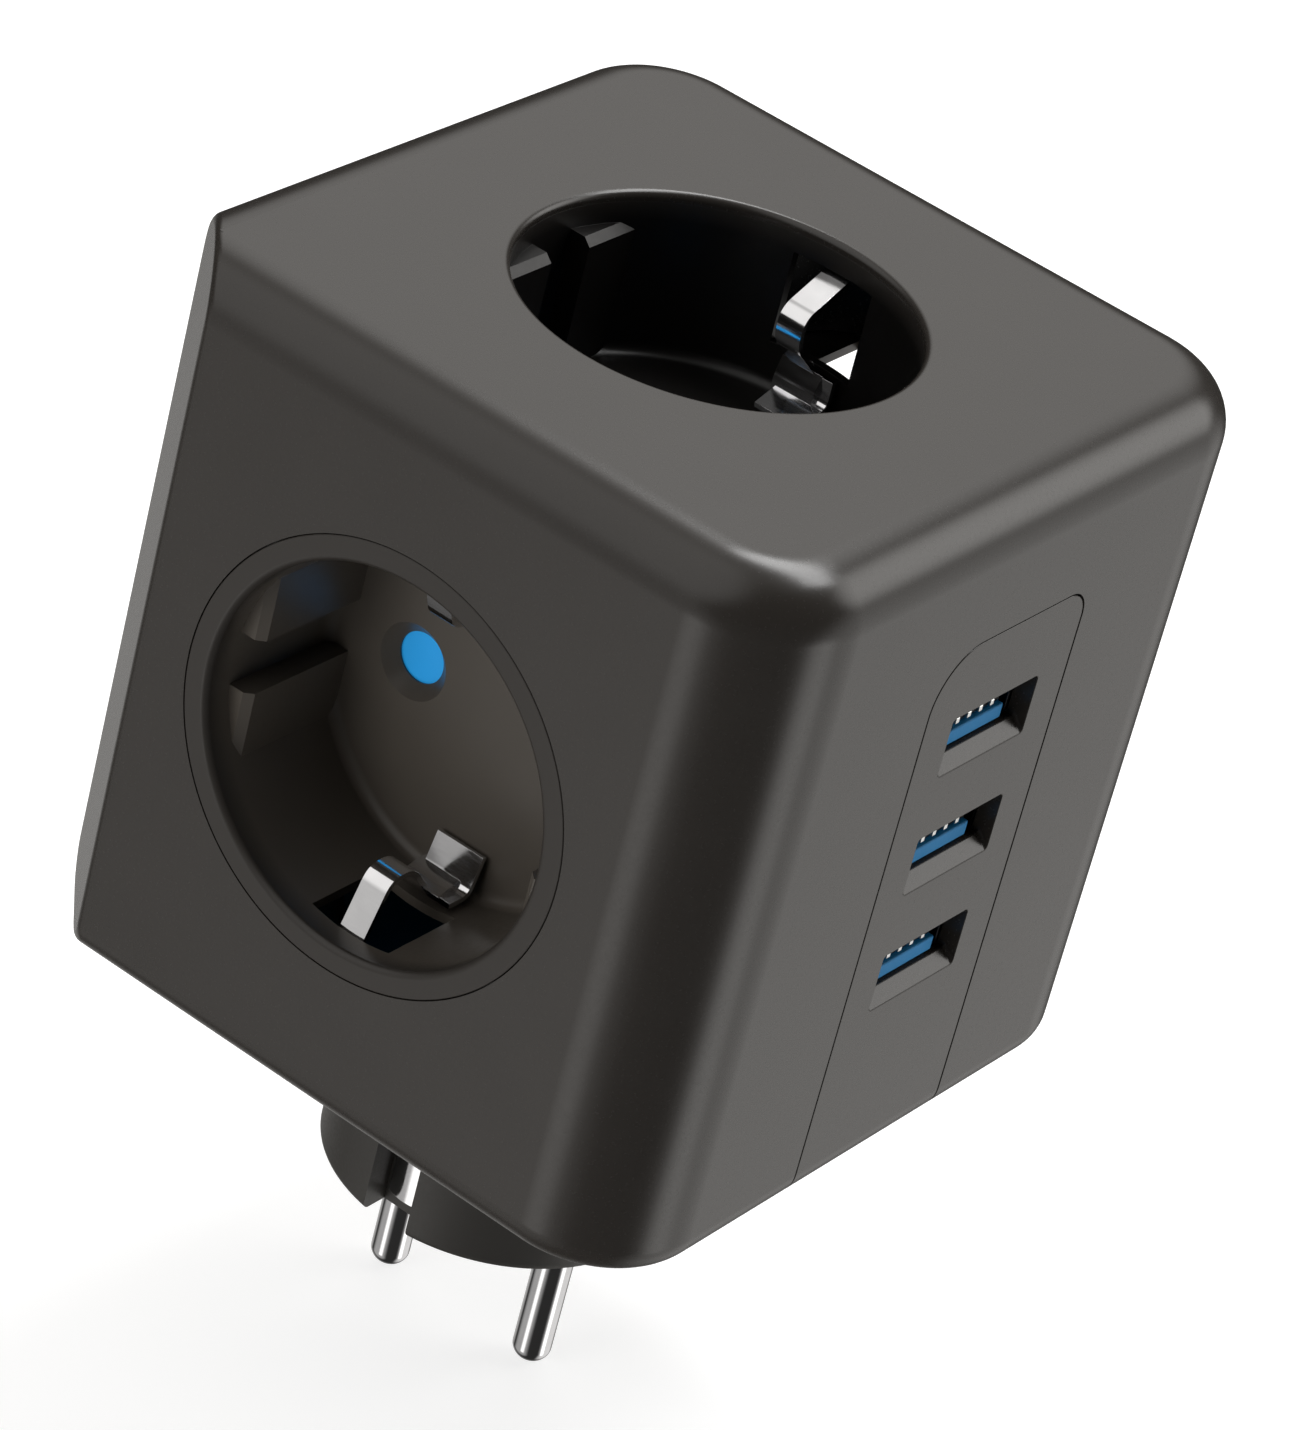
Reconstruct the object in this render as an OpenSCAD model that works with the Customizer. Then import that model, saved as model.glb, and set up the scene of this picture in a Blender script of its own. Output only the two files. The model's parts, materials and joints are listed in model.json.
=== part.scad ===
// Cube travel adapter: a cube with four recessed earthed sockets and three USB-A ports,
// on a round two-pin plug. Millimetres, +Z up. The origin is the centre of the plug's face,
// where the two pins come out and point down.

/* [Cube] */
// Width of the cube, left to right
body_x = 77.2; // [70:0.2:100]
// Depth of the cube, front to back
body_y = 77.6; // [70:0.2:100]
// Height of the cube
body_z = 75.6; // [70:0.2:100]
// Thickness of the casing wall
wall = 2.2; // [1.8:0.1:3]
// Radius of the upright edges
corner_r = 11.4; // [8:0.2:14]
// Radius of the top edges
top_r = 5.8; // [3:0.2:7]
// Radius of the bottom edges
bottom_r = 3.6; // [2:0.2:5]
// How far the chamfer of the front left edge runs back along the front
chamfer_x = 10.5; // [8:0.5:14]
// How far the chamfer of the front left edge runs back along the left side
chamfer_y = 11.8; // [8:0.5:14]

/* [Plug] */
// Diameter of the round plug body
plug_d = 36; // [34:0.2:37]
// Height of the plug body under the cube
plug_h = 24.2; // [20:0.2:32]
// Diameter of each contact pin
pin_d = 4; // [4:0.1:4.8]
// Length of each contact pin beyond the plug's face
pin_len = 19; // [17:0.5:20]
// Distance between the two pins, and between the holes of each socket
pin_spacing = 19; // [17:0.5:20]

/* [Sockets] */
// Diameter of each recess
recess_d = 39; // [38:0.5:41]
// Depth of each recess
recess_depth = 17.5; // [16:0.5:19]
// Width of the flush ring around a recess
ring_w = 2.6; // [2:0.1:4]
// Thickness of the flush ring
ring_t = 1.2; // [1:0.1:1.5]
// Thickness of the cup's side wall
cup_wall = 1; // [0.8:0.1:1.2]
// Thickness of the cup's floor
floor_t = 1.5; // [1.2:0.1:2]
// Diameter of the holes for a plug's pins
pin_hole_d = 5.2; // [5:0.1:5.6]
// Thickness of the safety shutter
shutter_t = 1.6; // [1.2:0.1:2]
// Rim of the safety shutter beyond its holes
shutter_rim = 0.5; // [0.4:0.1:0.6]
// Thickness of the earth clip's strip
clip_t = 0.6; // [0.5:0.05:0.8]

/* [USB] */
// Width of the flush panel
panel_w = 23.2; // [20:0.2:28]
// Distance between neighbouring ports
port_pitch = 13.2; // [12:0.2:16]
// Width of each port's opening
port_w = 13.7; // [13:0.1:15]
// Height of each port's opening
port_h = 6.4; // [6:0.1:7]

/* [Hidden] */
$fn = 64;
half_x = body_x / 2;
half_y = body_y / 2;
half_z = body_z / 2;
mid_z = plug_h + half_z;         // height of the cube's centre
top_z = plug_h + body_z;
eps = 0.01;                      // overlap that keeps neighbouring cuts open
seam = 0.1;                      // gap of a parting line
fit = 0.05;                      // radial clearance of a turning fit
slack = 0.2;                     // clearance of a loose fit

// Sockets, measured from the face inwards
recess_r = recess_d / 2;
ring_r = recess_r + ring_w;
cup_r = recess_r + cup_wall;
pin_x = pin_spacing / 2;
shutter_hole_r = pin_hole_d / 2 + 0.1;
shutter_r = pin_x + shutter_hole_r + shutter_rim;
shutter_turn = ceil(2 * asin((pin_hole_d + 0.35) / pin_spacing)); // opens the holes fully, and shuts them fully
floor_back = recess_depth + floor_t;
axial_gap = 0.1;
shutter_front = floor_back + axial_gap;
shutter_back = shutter_front + shutter_t;
carrier_front = shutter_back + axial_gap;
carrier_t = 4.4;
carrier_w = 9;
carrier_wall = 0.6;
carrier_back = carrier_front + carrier_t;
pivot_r = 2;
spring_wire_r = 0.3;
spring_r = 3;
spring_turns = 3;
pocket_r = spring_r + spring_wire_r + 0.75;
lip_r = 0.5;
top_lip = 1;                     // the top cup starts this far below the face
guide_x = recess_r - 2.7;        // flat guides stand this far from the centre
guide_depth = 3.3;
guide_bevel = 0.8;
groove_w = 5.8;
slot_w = 9.4;
slot_from = 3;
slot_to = 12.8;
clip_reach = recess_r - 5.8;     // the clips come this close to the centre
tab_x = 0.9;                     // the wide tabs stand to one side of the clips
clip_w = 2.9;
tab_w = 5.6;
tail_w = 2.4;
tail_x = 1.5;
tail_r = recess_r - 2;
sleeve_t = 0.6;
sleeve_in = pin_hole_d / 2 - 0.15;
sleeve_out = sleeve_in + sleeve_t;
sleeve_front = carrier_front + 0.2;
sleeve_end = 28;
cross_back = carrier_back + clip_t / 2; // the earth straps cross on the carriers' backs
spin_left = 45;                  // the left socket is turned so that no pins meet inside
left_pin = pin_x * sin(spin_left);

// Busbars
bar_t = 0.8;
bar_w = 6;
bar_x = pin_x + sleeve_out - 0.25;
left_back = half_x - bar_x + 0.6; // the left strap crosses behind the live busbar
bar_top = half_z - sleeve_end + bar_t;
bar_side = half_y - sleeve_end + bar_t;
foot_z = plug_h + 7;

// USB
panel_y = 0.6;
panel_top = 23.4;
panel_r_front = 6;
panel_r_back = 3;
port_z = [12.3, 12.3 - port_pitch, 12.3 - 2 * port_pitch];
port_bevel = 1.3;
usb_depth = 14.4;
usb_t = 0.4;
usb_w = port_w - 0.2;
usb_h = 5.9;
board_t = 1.6;
board_x = half_x - wall - usb_depth;
tongue_w = 9.2;
tongue_t = 1.6;
tongue_front = 1.5;
tongue_z = -0.7;
block_t = 1.5;
contact_pitch = 1.85;
contact_w = 0.8;
board_w = 34;
board_h = 50;
coil_t = board_x - board_t - bar_x - bar_t - 0.5;
coil_w = 16;
coil_h = 12;
core_t = 3;
winding_step = 0.8;
can_r = 3;
can_h = 6.5;
lead_r = 0.7;
lead_end = board_x - board_t + 0.4; // the leads end in the board

// Underside
cover_t = 2.2;
cover_rim = 5;
ledge_w = 3;                     // the cover rests on a ledge of this width
flange_r = plug_d / 2 + 3;
flange_t = 2;
board_z = plug_h + cover_t + flange_t + 0.6; // height of the USB board's lower edge
notch_w = 5.4;
notch_floor = plug_d / 2 - 3.6;
plug_flat = plug_d / 2 - 1.4;    // flats on the plug, to the sides of its keys
strap_w = 4.6;
strap_t = 0.8;
strap_top = plug_h + 12;
shank_r = pin_d / 2 + 0.3;       // the pins are thicker inside the plug body
post_r = 3.4;
rib_t = 1.6;
screw_r = 1.2;
screw_head_r = 2.4;
post_inset = 11;
post_h = 9;

// ---- places: each socket's own frame has +Z out of its face and +X along its pins ----
module in_front() { translate([0, -half_y, mid_z]) rotate([90, 0, 0]) children(); }
module in_back() { translate([0, half_y, mid_z]) rotate([90, 0, 180]) children(); }
module in_left() { translate([-half_x, 0, mid_z]) rotate([90, 0, -90]) rotate([0, 0, spin_left]) children(); }
module in_top() { translate([0, 0, top_z]) children(); }
module in_port(k) { translate([half_x, panel_y, mid_z + port_z[k]]) rotate([90, 0, 90]) children(); }

// ---- outline of the cube seen from above ----
// Where two lines meet that stand at distances d1, d2 from the centre, with normals at a1, a2
function meet(a1, d1, a2, d2) =
  [(d1 * sin(a2) - d2 * sin(a1)) / sin(a2 - a1), (d2 * cos(a1) - d1 * cos(a2)) / sin(a2 - a1)];
chamfer_turn = atan2(chamfer_x, chamfer_y);
chamfer_d = (half_x - chamfer_x) * cos(chamfer_turn) + half_y * sin(chamfer_turn);
// Faces as [angle of the normal, distance], then the radius of the hollow's corner after each face
FACES = [[270, half_y], [360, half_x], [450, half_y], [540, half_x], [540 + chamfer_turn, chamfer_d],
  [630, half_y]];
RADII = [corner_r, corner_r, corner_r, top_r, top_r];
function corner_centre(i, r) = meet(FACES[i][0], FACES[i][1] - r, FACES[i + 1][0], FACES[i + 1][1] - r);

// The outline, moved inwards by inset
module plan(inset) {
  radii = [for (r = RADII) max(r, inset + 0.8)];
  centres = [for (i = [0:4]) corner_centre(i, radii[i])];
  polygon([for (i = [0:4]) for (f = [FACES[i], FACES[i + 1]])
    centres[i] + (radii[i] - inset) * [cos(f[0]), sin(f[0])]]);
  for (i = [0:4]) translate(centres[i]) circle(radii[i] - inset);
}

// A corner of the cube: a disc with rounded rims
module puck(r) {
  rotate_extrude($fn = 48) {
    square([r - top_r + eps, body_z]);
    translate([0, bottom_r]) square([r, body_z - top_r - bottom_r]);
    translate([r - top_r, body_z - top_r]) intersection() {
      circle(top_r, $fn = 48);
      square(top_r);
    }
    square([r - bottom_r, body_z / 2]);
    translate([r - bottom_r, bottom_r]) intersection() {
      circle(bottom_r, $fn = 48);
      translate([0, -bottom_r]) square(bottom_r);
    }
  }
}

// The rounded cube, with one upright corner cut off flat. The cut's own edges are left sharp
module cube_solid() {
  translate([0, 0, plug_h]) intersection() {
    hull() {
      for (i = [0:2]) translate(corner_centre(i, RADII[i])) puck(RADII[i]);
      translate([top_r - half_x, top_r - half_y]) puck(top_r);
    }
    rotate([0, 0, chamfer_turn]) translate([-chamfer_d, -2 * body_y, -1]) cube([4 * body_x, 4 * body_y, body_z + 2]);
  }
}

// ---- casing ----
module panel_outline(grow) {
  low = -half_z - 1;
  left = -panel_w / 2 - grow;
  right = panel_w / 2 + grow;
  high = panel_top + grow;
  rf = panel_r_front + grow;
  rb = panel_r_back + grow;
  translate([panel_y, 0]) {
    translate([left, low]) square([right - left, high - max(rf, rb) - low]);
    translate([left + rf, low]) square([right - left - rf - rb, high - low]);
    translate([right - rb - eps, low]) square([rb + eps, high - rb - low]);
    translate([left + rf, high - rf]) circle(rf);
    translate([right - rb, high - rb]) circle(rb);
  }
}

// A slab of the panel's outline, from the face inwards
module panel_slab(grow, depth) {
  translate([half_x - depth, 0, mid_z]) rotate([90, 0, 90]) linear_extrude(depth + 1) panel_outline(grow);
}

// Rounded mouth of a recess
module mouth_rounding(r) {
  rotate_extrude() difference() {
    translate([r - 1, -lip_r]) square([lip_r + 1, lip_r + 1]);
    translate([r + lip_r, -lip_r]) circle(lip_r, $fn = 32);
  }
}

// Hole in the casing for a socket whose ring is flush with the face
module ring_seat() {
  translate([0, 0, -wall - 1]) cylinder(h = wall + 2, r = cup_r + slack);
  translate([0, 0, -ring_t]) cylinder(h = ring_t + 1, r = ring_r + seam);
}

module screw_places() {
  for (sx = [-1, 1], sy = [-1, 1]) translate([sx * (half_x - post_inset), sy * (half_y - post_inset), 0]) children();
}

// Posts for the cover's screws, each tied to the walls by two ribs
module cover_posts() {
  screw_places() translate([0, 0, plug_h + cover_t]) cylinder(h = post_h, r = post_r);
  translate([0, 0, plug_h + cover_t]) linear_extrude(post_h) intersection() {
    plan(wall / 2);
    for (sx = [-1, 1], sy = [-1, 1]) translate([sx * (half_x - post_inset), sy * (half_y - post_inset)]) {
      translate([sx > 0 ? 0 : -post_inset, -rib_t / 2]) square([post_inset, rib_t]);
      translate([-rib_t / 2, sy > 0 ? 0 : -post_inset]) square([rib_t, post_inset]);
    }
  }
}

module cube_shell() {
  color("#5b5955") difference() {
    union() {
      difference() {
        cube_solid();
        translate([0, 0, plug_h + bottom_r]) linear_extrude(body_z - bottom_r - wall) plan(wall);
      }
      cover_posts();
    }
    translate([0, 0, plug_h - 1]) linear_extrude(cover_t + 1) plan(cover_rim);
    translate([0, 0, plug_h + cover_t - eps]) linear_extrude(bottom_r) difference() {
      plan(cover_rim + ledge_w);
      screw_places() circle(post_r);
    }
    screw_places() translate([0, 0, plug_h]) cylinder(h = cover_t + post_h - 1, r = screw_r);
    in_front() ring_seat();
    in_back() ring_seat();
    in_left() ring_seat();
    in_top() translate([0, 0, -wall - 1]) cylinder(h = wall + 2, r = recess_r);
    in_top() translate([0, 0, -wall - 1]) cylinder(h = wall + 1 - top_lip, r = ring_r + seam);
    in_top() mouth_rounding(recess_r);
    panel_slab(seam, wall + 1);
  }
}

module base_cover() {
  color("#4c4a47") difference() {
    translate([0, 0, plug_h]) linear_extrude(cover_t) plan(cover_rim + seam);
    translate([0, 0, plug_h - 1]) cylinder(h = cover_t + 2, r = plug_d / 2 + slack);
    screw_places() translate([0, 0, plug_h - 1]) cylinder(h = cover_t + 2, r = screw_r + slack);
    screw_places() translate([0, 0, plug_h - 1]) cylinder(h = 2.2, r = screw_head_r + slack);
  }
}

module cover_screws() {
  color("silver") screw_places() difference() {
    union() {
      translate([0, 0, plug_h + 0.1]) cylinder(h = 1.1, r = screw_head_r);
      translate([0, 0, plug_h + 1]) cylinder(h = cover_t + post_h - 3, r = screw_r);
    }
    for (a = [0, 90]) translate([0, 0, plug_h]) rotate([0, 0, a]) cube([2.6, 0.6, 1.2], center = true);
  }
}

// ---- plug ----
module plug_base() {
  color("#4c4a47") difference() {
    union() {
      rotate_extrude() {
        square([plug_d / 2 - 1, plug_h]);
        translate([0, 1]) square([plug_d / 2, plug_h + cover_t - 1]);
        translate([plug_d / 2 - 1, 1]) circle(1);
      }
      translate([0, 0, plug_h + cover_t]) cylinder(h = flange_t, r = flange_r);
    }
    for (a = [0, 180]) rotate([0, 0, a]) {
      translate([-notch_w / 2, notch_floor, -1]) cube([notch_w, plug_d, plug_h + 1]);
      translate([plug_flat, -plug_d / 2, -1]) cube([plug_d, plug_d / 2 - groove_w / 2 + slack, plug_h - 3]);
      translate([plug_flat, groove_w / 2 - slack, -1]) cube([plug_d, plug_d / 2, plug_h - 3]);
      translate([-strap_w / 2 - fit, notch_floor - eps, 1])
        cube([strap_w + 2 * fit, strap_t + fit, plug_h + cover_t + flange_t]);
      translate([pin_x, 0, -1]) cylinder(h = plug_h + cover_t + flange_t + 2, r = shank_r);
    }
  }
}

module plug_pin(side) {
  color("#d8d8da") translate([side * pin_x, 0, 0]) {
    translate([0, 0, -pin_len + pin_d / 2]) cylinder(h = pin_len - pin_d / 2 + eps, r = pin_d / 2);
    cylinder(h = foot_z + bar_t, r = shank_r);
    translate([0, 0, -pin_len + pin_d / 2]) sphere(r = pin_d / 2);
  }
}

module plug_earth_strap() {
  color("#d8d8da") {
    for (s = [-1, 1]) translate([-strap_w / 2, s > 0 ? notch_floor : -notch_floor - strap_t, 1.5])
      cube([strap_w, strap_t, strap_top - 1.5]);
    translate([-strap_w / 2, -notch_floor - strap_t, strap_top - strap_t])
      cube([strap_w, 2 * (notch_floor + strap_t), strap_t]);
  }
}

// ---- sockets, in a socket's own frame ----
// The space of the recess: round at the mouth, with two flat guides further in
module recess_space() {
  translate([0, 0, -guide_depth]) cylinder(h = guide_depth + 1, r = recess_r);
  intersection() {
    translate([0, 0, -recess_depth]) cylinder(h = recess_depth, r = recess_r);
    union() {
      rotate([90, 0, 0]) linear_extrude(recess_d + 2, center = true) polygon([
        [-guide_x, -recess_depth - 1], [guide_x, -recess_depth - 1],
        [guide_x, -guide_depth - guide_bevel], [guide_x + guide_bevel, -guide_depth],
        [recess_r + 1, -guide_depth], [recess_r + 1, 1], [-recess_r - 1, 1], [-recess_r - 1, -guide_depth],
        [-guide_x - guide_bevel, -guide_depth], [-guide_x, -guide_depth - guide_bevel]]);
      translate([-recess_r - 1, -groove_w / 2, -recess_depth - 1])
        cube([recess_d + 2, groove_w, recess_depth + 2]);
    }
  }
}

// A socket cup. Its ring is flush with the face, or sits below a lip when behind is set
module socket_insert(behind) {
  start = behind ? top_lip : 0;
  color("#3d3b38") difference() {
    union() {
      translate([0, 0, -recess_depth]) cylinder(h = recess_depth - start, r = cup_r);
      translate([0, 0, -floor_back]) cylinder(h = floor_t, r1 = cup_r - floor_t, r2 = cup_r);
      translate([0, 0, -start - ring_t]) cylinder(h = ring_t, r = ring_r);
      translate([0, 0, -carrier_back]) cylinder(h = carrier_back - recess_depth - floor_t / 2, r = pivot_r);
    }
    recess_space();
    if (!behind) mouth_rounding(recess_r);
    for (s = [-1, 1]) {
      translate([s * pin_x, 0, -floor_back - 1]) cylinder(h = floor_t + 2, r = pin_hole_d / 2);
      translate([-slot_w / 2, s > 0 ? recess_r - 1.5 : -recess_r - 1.5, -slot_to]) cube([slot_w, 3, slot_to - slot_from]);
      translate([-tab_w / 2, s > 0 ? tail_r - 0.6 : -tail_r - 0.6, -floor_back - 1]) cube([tab_w, 1.2, floor_t + 2]);
    }
  }
}

module shutter() {
  color("#2391d2") translate([0, 0, -shutter_back]) difference() {
    cylinder(h = shutter_t, r = shutter_r);
    translate([0, 0, -1]) cylinder(h = shutter_t + 2, r = pivot_r + fit);
    for (a = [0, 180]) rotate([0, 0, a - shutter_turn])
      translate([pin_x, 0, -1]) cylinder(h = shutter_t + 2, r = shutter_hole_r);
  }
}

// A closed tube through rings of points
module tube(rings) {
  sides = len(rings[0]);
  last = len(rings) - 1;
  polyhedron(
    points = [for (ring = rings) for (q = ring) q],
    faces = concat(
      [[for (k = [sides - 1:-1:0]) k]],
      [for (i = [0:last - 1]) for (k = [0:sides - 1])
        [i * sides + k, i * sides + (k + 1) % sides, (i + 1) * sides + (k + 1) % sides, (i + 1) * sides + k]],
      [[for (k = [0:sides - 1]) last * sides + k]]));
}

// The return spring: a coil around the pivot, with one leg that reaches into the shutter
function coil_point(t) = [spring_r * cos(360 * t), spring_r * sin(360 * t), -carrier_front - 0.5 - 0.75 * t];
module shutter_spring() {
  steps = 16;
  sides = 8;
  n = spring_turns * steps;
  color("silver") {
    tube([for (i = [0:n]) let (t = i / steps, c = coil_point(t))
      [for (k = [0:sides - 1]) let (a = 360 * k / sides)
        c + spring_wire_r * [cos(a) * cos(360 * t), cos(a) * sin(360 * t), sin(a)]]]);
    translate(coil_point(0)) cylinder(h = 1.2, r = spring_wire_r, $fn = 16);
  }
}

// The block behind the shutter that holds the two sleeves and the spring
module contact_carrier() {
  color("#e6e2d6") difference() {
    translate([0, 0, -carrier_back]) intersection() {
      cylinder(h = carrier_t, r = shutter_r);
      translate([-shutter_r, -carrier_w / 2, 0]) cube([2 * shutter_r, carrier_w, carrier_t]);
    }
    for (s = [-1, 1]) translate([s * pin_x, 0, -carrier_back - 1]) cylinder(h = carrier_t + 2, r = sleeve_out);
    translate([0, 0, -carrier_back + carrier_wall]) cylinder(h = carrier_t, r = pocket_r);
    translate([0, 0, -carrier_back - 1]) cylinder(h = carrier_wall + 2, r = pivot_r);
  }
}

// A strip of sheet that follows the points p, given as [distance from the centre, depth]
module strip(p, t, w) {
  rotate([90, 0, 90]) linear_extrude(w, center = true) {
    for (i = [0:len(p) - 2]) {
      d = p[i + 1] - p[i];
      translate(p[i]) rotate(atan2(d[1], d[0])) translate([0, -t / 2]) square([norm(d), t]);
    }
    for (q = p) translate(q) circle(t / 2, $fn = 24);
  }
}

// One sprung clip: a narrow arch, a wide folded tab behind it, and a tail through the floor
module earth_clip(tail_side) {
  strip([[recess_r + 0.5, -slot_from - 0.6], [clip_reach + clip_t / 2, -6], [clip_reach + clip_t / 2, -9],
    [recess_r - 1.3, -slot_to]], clip_t, clip_w);
  translate([tab_x, 0, 0]) strip([[recess_r - 1.3, -slot_to], [recess_r - 1.2, -recess_depth + 1.3],
    [clip_reach + clip_t, -recess_depth + 0.6]], clip_t, tab_w);
  strip([[recess_r - 1.3, -slot_to], [tail_r, -slot_to - 2], [tail_r, -floor_back + 0.6]], clip_t, tab_w - 0.8);
  translate([tail_side * tail_x, 0, 0]) strip([[tail_r, -floor_back + 0.8], [tail_r, -carrier_back - clip_t]], clip_t, tail_w);
}

module earth_clips(tail_side, back) {
  color("#c9c9cc") {
    earth_clip(tail_side);
    mirror([0, 1, 0]) earth_clip(tail_side);
    for (s = [-1, 1]) translate([tail_side * tail_x, 0, 0])
      strip([[s * tail_r, -carrier_back], [s * tail_r, -back]], clip_t, tail_w);
    translate([tail_side * tail_x, 0, 0]) strip([[-tail_r, -back], [tail_r, -back]], clip_t, tail_w);
  }
}

// ---- current-carrying parts ----
module sleeve(from, to) {
  translate([0, 0, -to]) difference() {
    cylinder(h = to - from, r = sleeve_out);
    translate([0, 0, -1]) cylinder(h = to - from + 2, r = sleeve_in);
  }
}

// The strip that joins one side's sleeves: upright, with arms to the front, back and top
module side_bar(side) {
  in_front() translate([side * pin_x, 0, 0]) sleeve(sleeve_front, sleeve_end);
  in_back() translate([-side * pin_x, 0, 0]) sleeve(sleeve_front, sleeve_end);
  in_top() translate([side * pin_x, 0, 0]) sleeve(sleeve_front, sleeve_end);
  x = side > 0 ? bar_x : -bar_x - bar_t;
  foot_in = pin_x - shank_r - 1.6;
  translate([x, -bar_w / 2, foot_z]) cube([bar_t, bar_w, mid_z + bar_top - foot_z]);
  translate([x, -bar_side, mid_z - bar_w / 2]) cube([bar_t, 2 * bar_side, bar_w]);
  difference() {
    translate([side > 0 ? foot_in : x, -bar_w / 2, foot_z]) cube([bar_x + bar_t - foot_in, bar_w, bar_t]);
    translate([side * pin_x, 0, foot_z - 1]) cylinder(h = bar_t + 2, r = shank_r);
  }
}

module live_busbar() {
  color("#c8a24a") difference() {
    union() {
      side_bar(-1);
      in_left() translate([pin_x, 0, 0]) sleeve(sleeve_front, half_x - bar_x);
      in_left() translate([pin_x, 0, -(half_x - bar_x)]) cylinder(h = bar_t, r = sleeve_out + 1.4);
    }
    in_left() translate([pin_x, 0, -half_x]) cylinder(h = half_x - carrier_front, r = sleeve_in);
  }
}

module neutral_busbar() {
  color("#c8a24a") {
    side_bar(1);
    translate([bar_x, bar_w / 2 - 1, mid_z - left_pin - 2.4]) cube([bar_t, left_pin + sleeve_out + 1 - bar_w / 2 + 1, 4.8]);
  }
}

module left_neutral_link() {
  color("#c8a24a") {
    in_left() translate([-pin_x, 0, 0]) sleeve(sleeve_front, sleeve_end);
    translate([-half_x + carrier_back + slack, left_pin + sleeve_out - 0.2, mid_z - left_pin - 2])
      cube([half_x - carrier_back - slack + bar_x, bar_t, 4]);
  }
}

module earth_busbar() {
  y = half_y - cross_back - clip_t / 2;
  top = half_z - cross_back - clip_t / 2;
  color("#c8a24a") {
    translate([-bar_t, -y, mid_z + top - 1.6]) cube([2 * bar_t, 2 * y, 1.6]);
    translate([-bar_t, -y, strap_top]) cube([2 * bar_t, 1.6, mid_z + top - strap_top]);
    translate([-half_x + left_back + clip_t / 2, -y, mid_z - y]) cube([half_x - left_back - clip_t / 2, 1.6, 1.6]);
  }
}

// ---- USB ----
module usb_panel() {
  color("#55534f") difference() {
    intersection() {
      cube_solid();
      panel_slab(0, wall);
    }
    for (k = [0:2]) in_port(k) {
      translate([-port_w / 2, -port_h / 2 + port_bevel, -wall - 1]) cube([port_w, port_h - 2 * port_bevel + 0.6, wall + 2]);
      rotate([0, 90, 0]) linear_extrude(port_w, center = true) polygon([
        [-eps, -port_h / 2], [-eps, port_h / 2], [port_bevel, port_h / 2 - port_bevel / 2],
        [port_bevel, -port_h / 2 + port_bevel]]);
    }
  }
}

module usb_shell(k) {
  color("#b9b9bd") in_port(k) translate([0, 0, -wall - usb_depth]) difference() {
    translate([-usb_w / 2, -usb_h / 2 + 0.3, 0]) cube([usb_w, usb_h, usb_depth]);
    translate([-usb_w / 2 + usb_t, -usb_h / 2 + 0.3 + usb_t, 1]) cube([usb_w - 2 * usb_t, usb_h - 2 * usb_t, usb_depth]);
  }
}

module usb_tongue(k) {
  color("#2a7fb0") in_port(k) translate([-tongue_w / 2, tongue_z - tongue_t / 2, -wall - usb_depth + 1])
    cube([tongue_w, tongue_t, wall + usb_depth - 1 - tongue_front]);
}

module usb_block(k) {
  color("#151515") in_port(k) translate([-tongue_w / 2, tongue_z + tongue_t / 2, -wall - usb_depth + 1])
    cube([tongue_w, block_t, wall + usb_depth - 1 - tongue_front - 0.6]);
}

module usb_contacts(k) {
  color("#e8e8e8") in_port(k) for (i = [-1.5:1:1.5])
    translate([i * contact_pitch - contact_w / 2, tongue_z + tongue_t / 2, -tongue_front - 0.6])
      cube([contact_w, contact_w, 0.4]);
}

module usb_board() {
  color("#2f6b3a") translate([board_x - board_t, panel_y - board_w / 2, board_z]) cube([board_t, board_w, board_h]);
}

module usb_transformer() {
  color("#d9b23c") translate([board_x - board_t - coil_t, panel_y - coil_w / 2, board_z]) {
    for (z = [0, coil_h - core_t]) translate([0, 0, z]) cube([coil_t, coil_w, core_t]);
    translate([winding_step, winding_step, core_t - eps])
      cube([coil_t - 2 * winding_step, coil_w - 2 * winding_step, coil_h - 2 * core_t + 2 * eps]);
  }
}

module usb_capacitors() {
  color("#2b3a55") for (i = [0, 1])
    translate([board_x - board_t - can_h, panel_y + board_w / 2 - can_r - 1, board_z + can_r + 1 + i * (2 * can_r + 0.5)])
      rotate([0, 90, 0]) cylinder(h = can_h, r = can_r);
}

// An insulated wire from p[0] to p[2] that bends towards p[1] on its way
module lead(p) {
  steps = 12;
  sides = 12;
  tube([for (i = [0:steps])
    let (t = i / steps, middle = (1 - t) * (1 - t) * p[0] + 2 * t * (1 - t) * p[1] + t * t * p[2])
    let (along = (1 - t) * (p[1] - p[0]) + t * (p[2] - p[1]), level = cross(along, [0, 0, 1]))
    let (u = level / norm(level), v = cross(u, along / norm(along)))
    [for (k = [0:sides - 1]) middle + lead_r * (cos(360 * k / sides) * u + sin(360 * k / sides) * v)]]);
}

module usb_live_lead() {
  color("#7a4a2a") lead([[-bar_x - bar_t / 2, 0, foot_z + 5], [-2, -14, foot_z + 1.8], [lead_end, -13, foot_z + 1]]);
}

module usb_neutral_lead() {
  x = bar_x + bar_t / 2;
  color("#3a6ea8") lead([[x, 0.4 - bar_w / 2, foot_z + 6], [x - 1.4, -14.5, foot_z + 5], [lead_end, -11, foot_z + 4]]);
}

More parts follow.
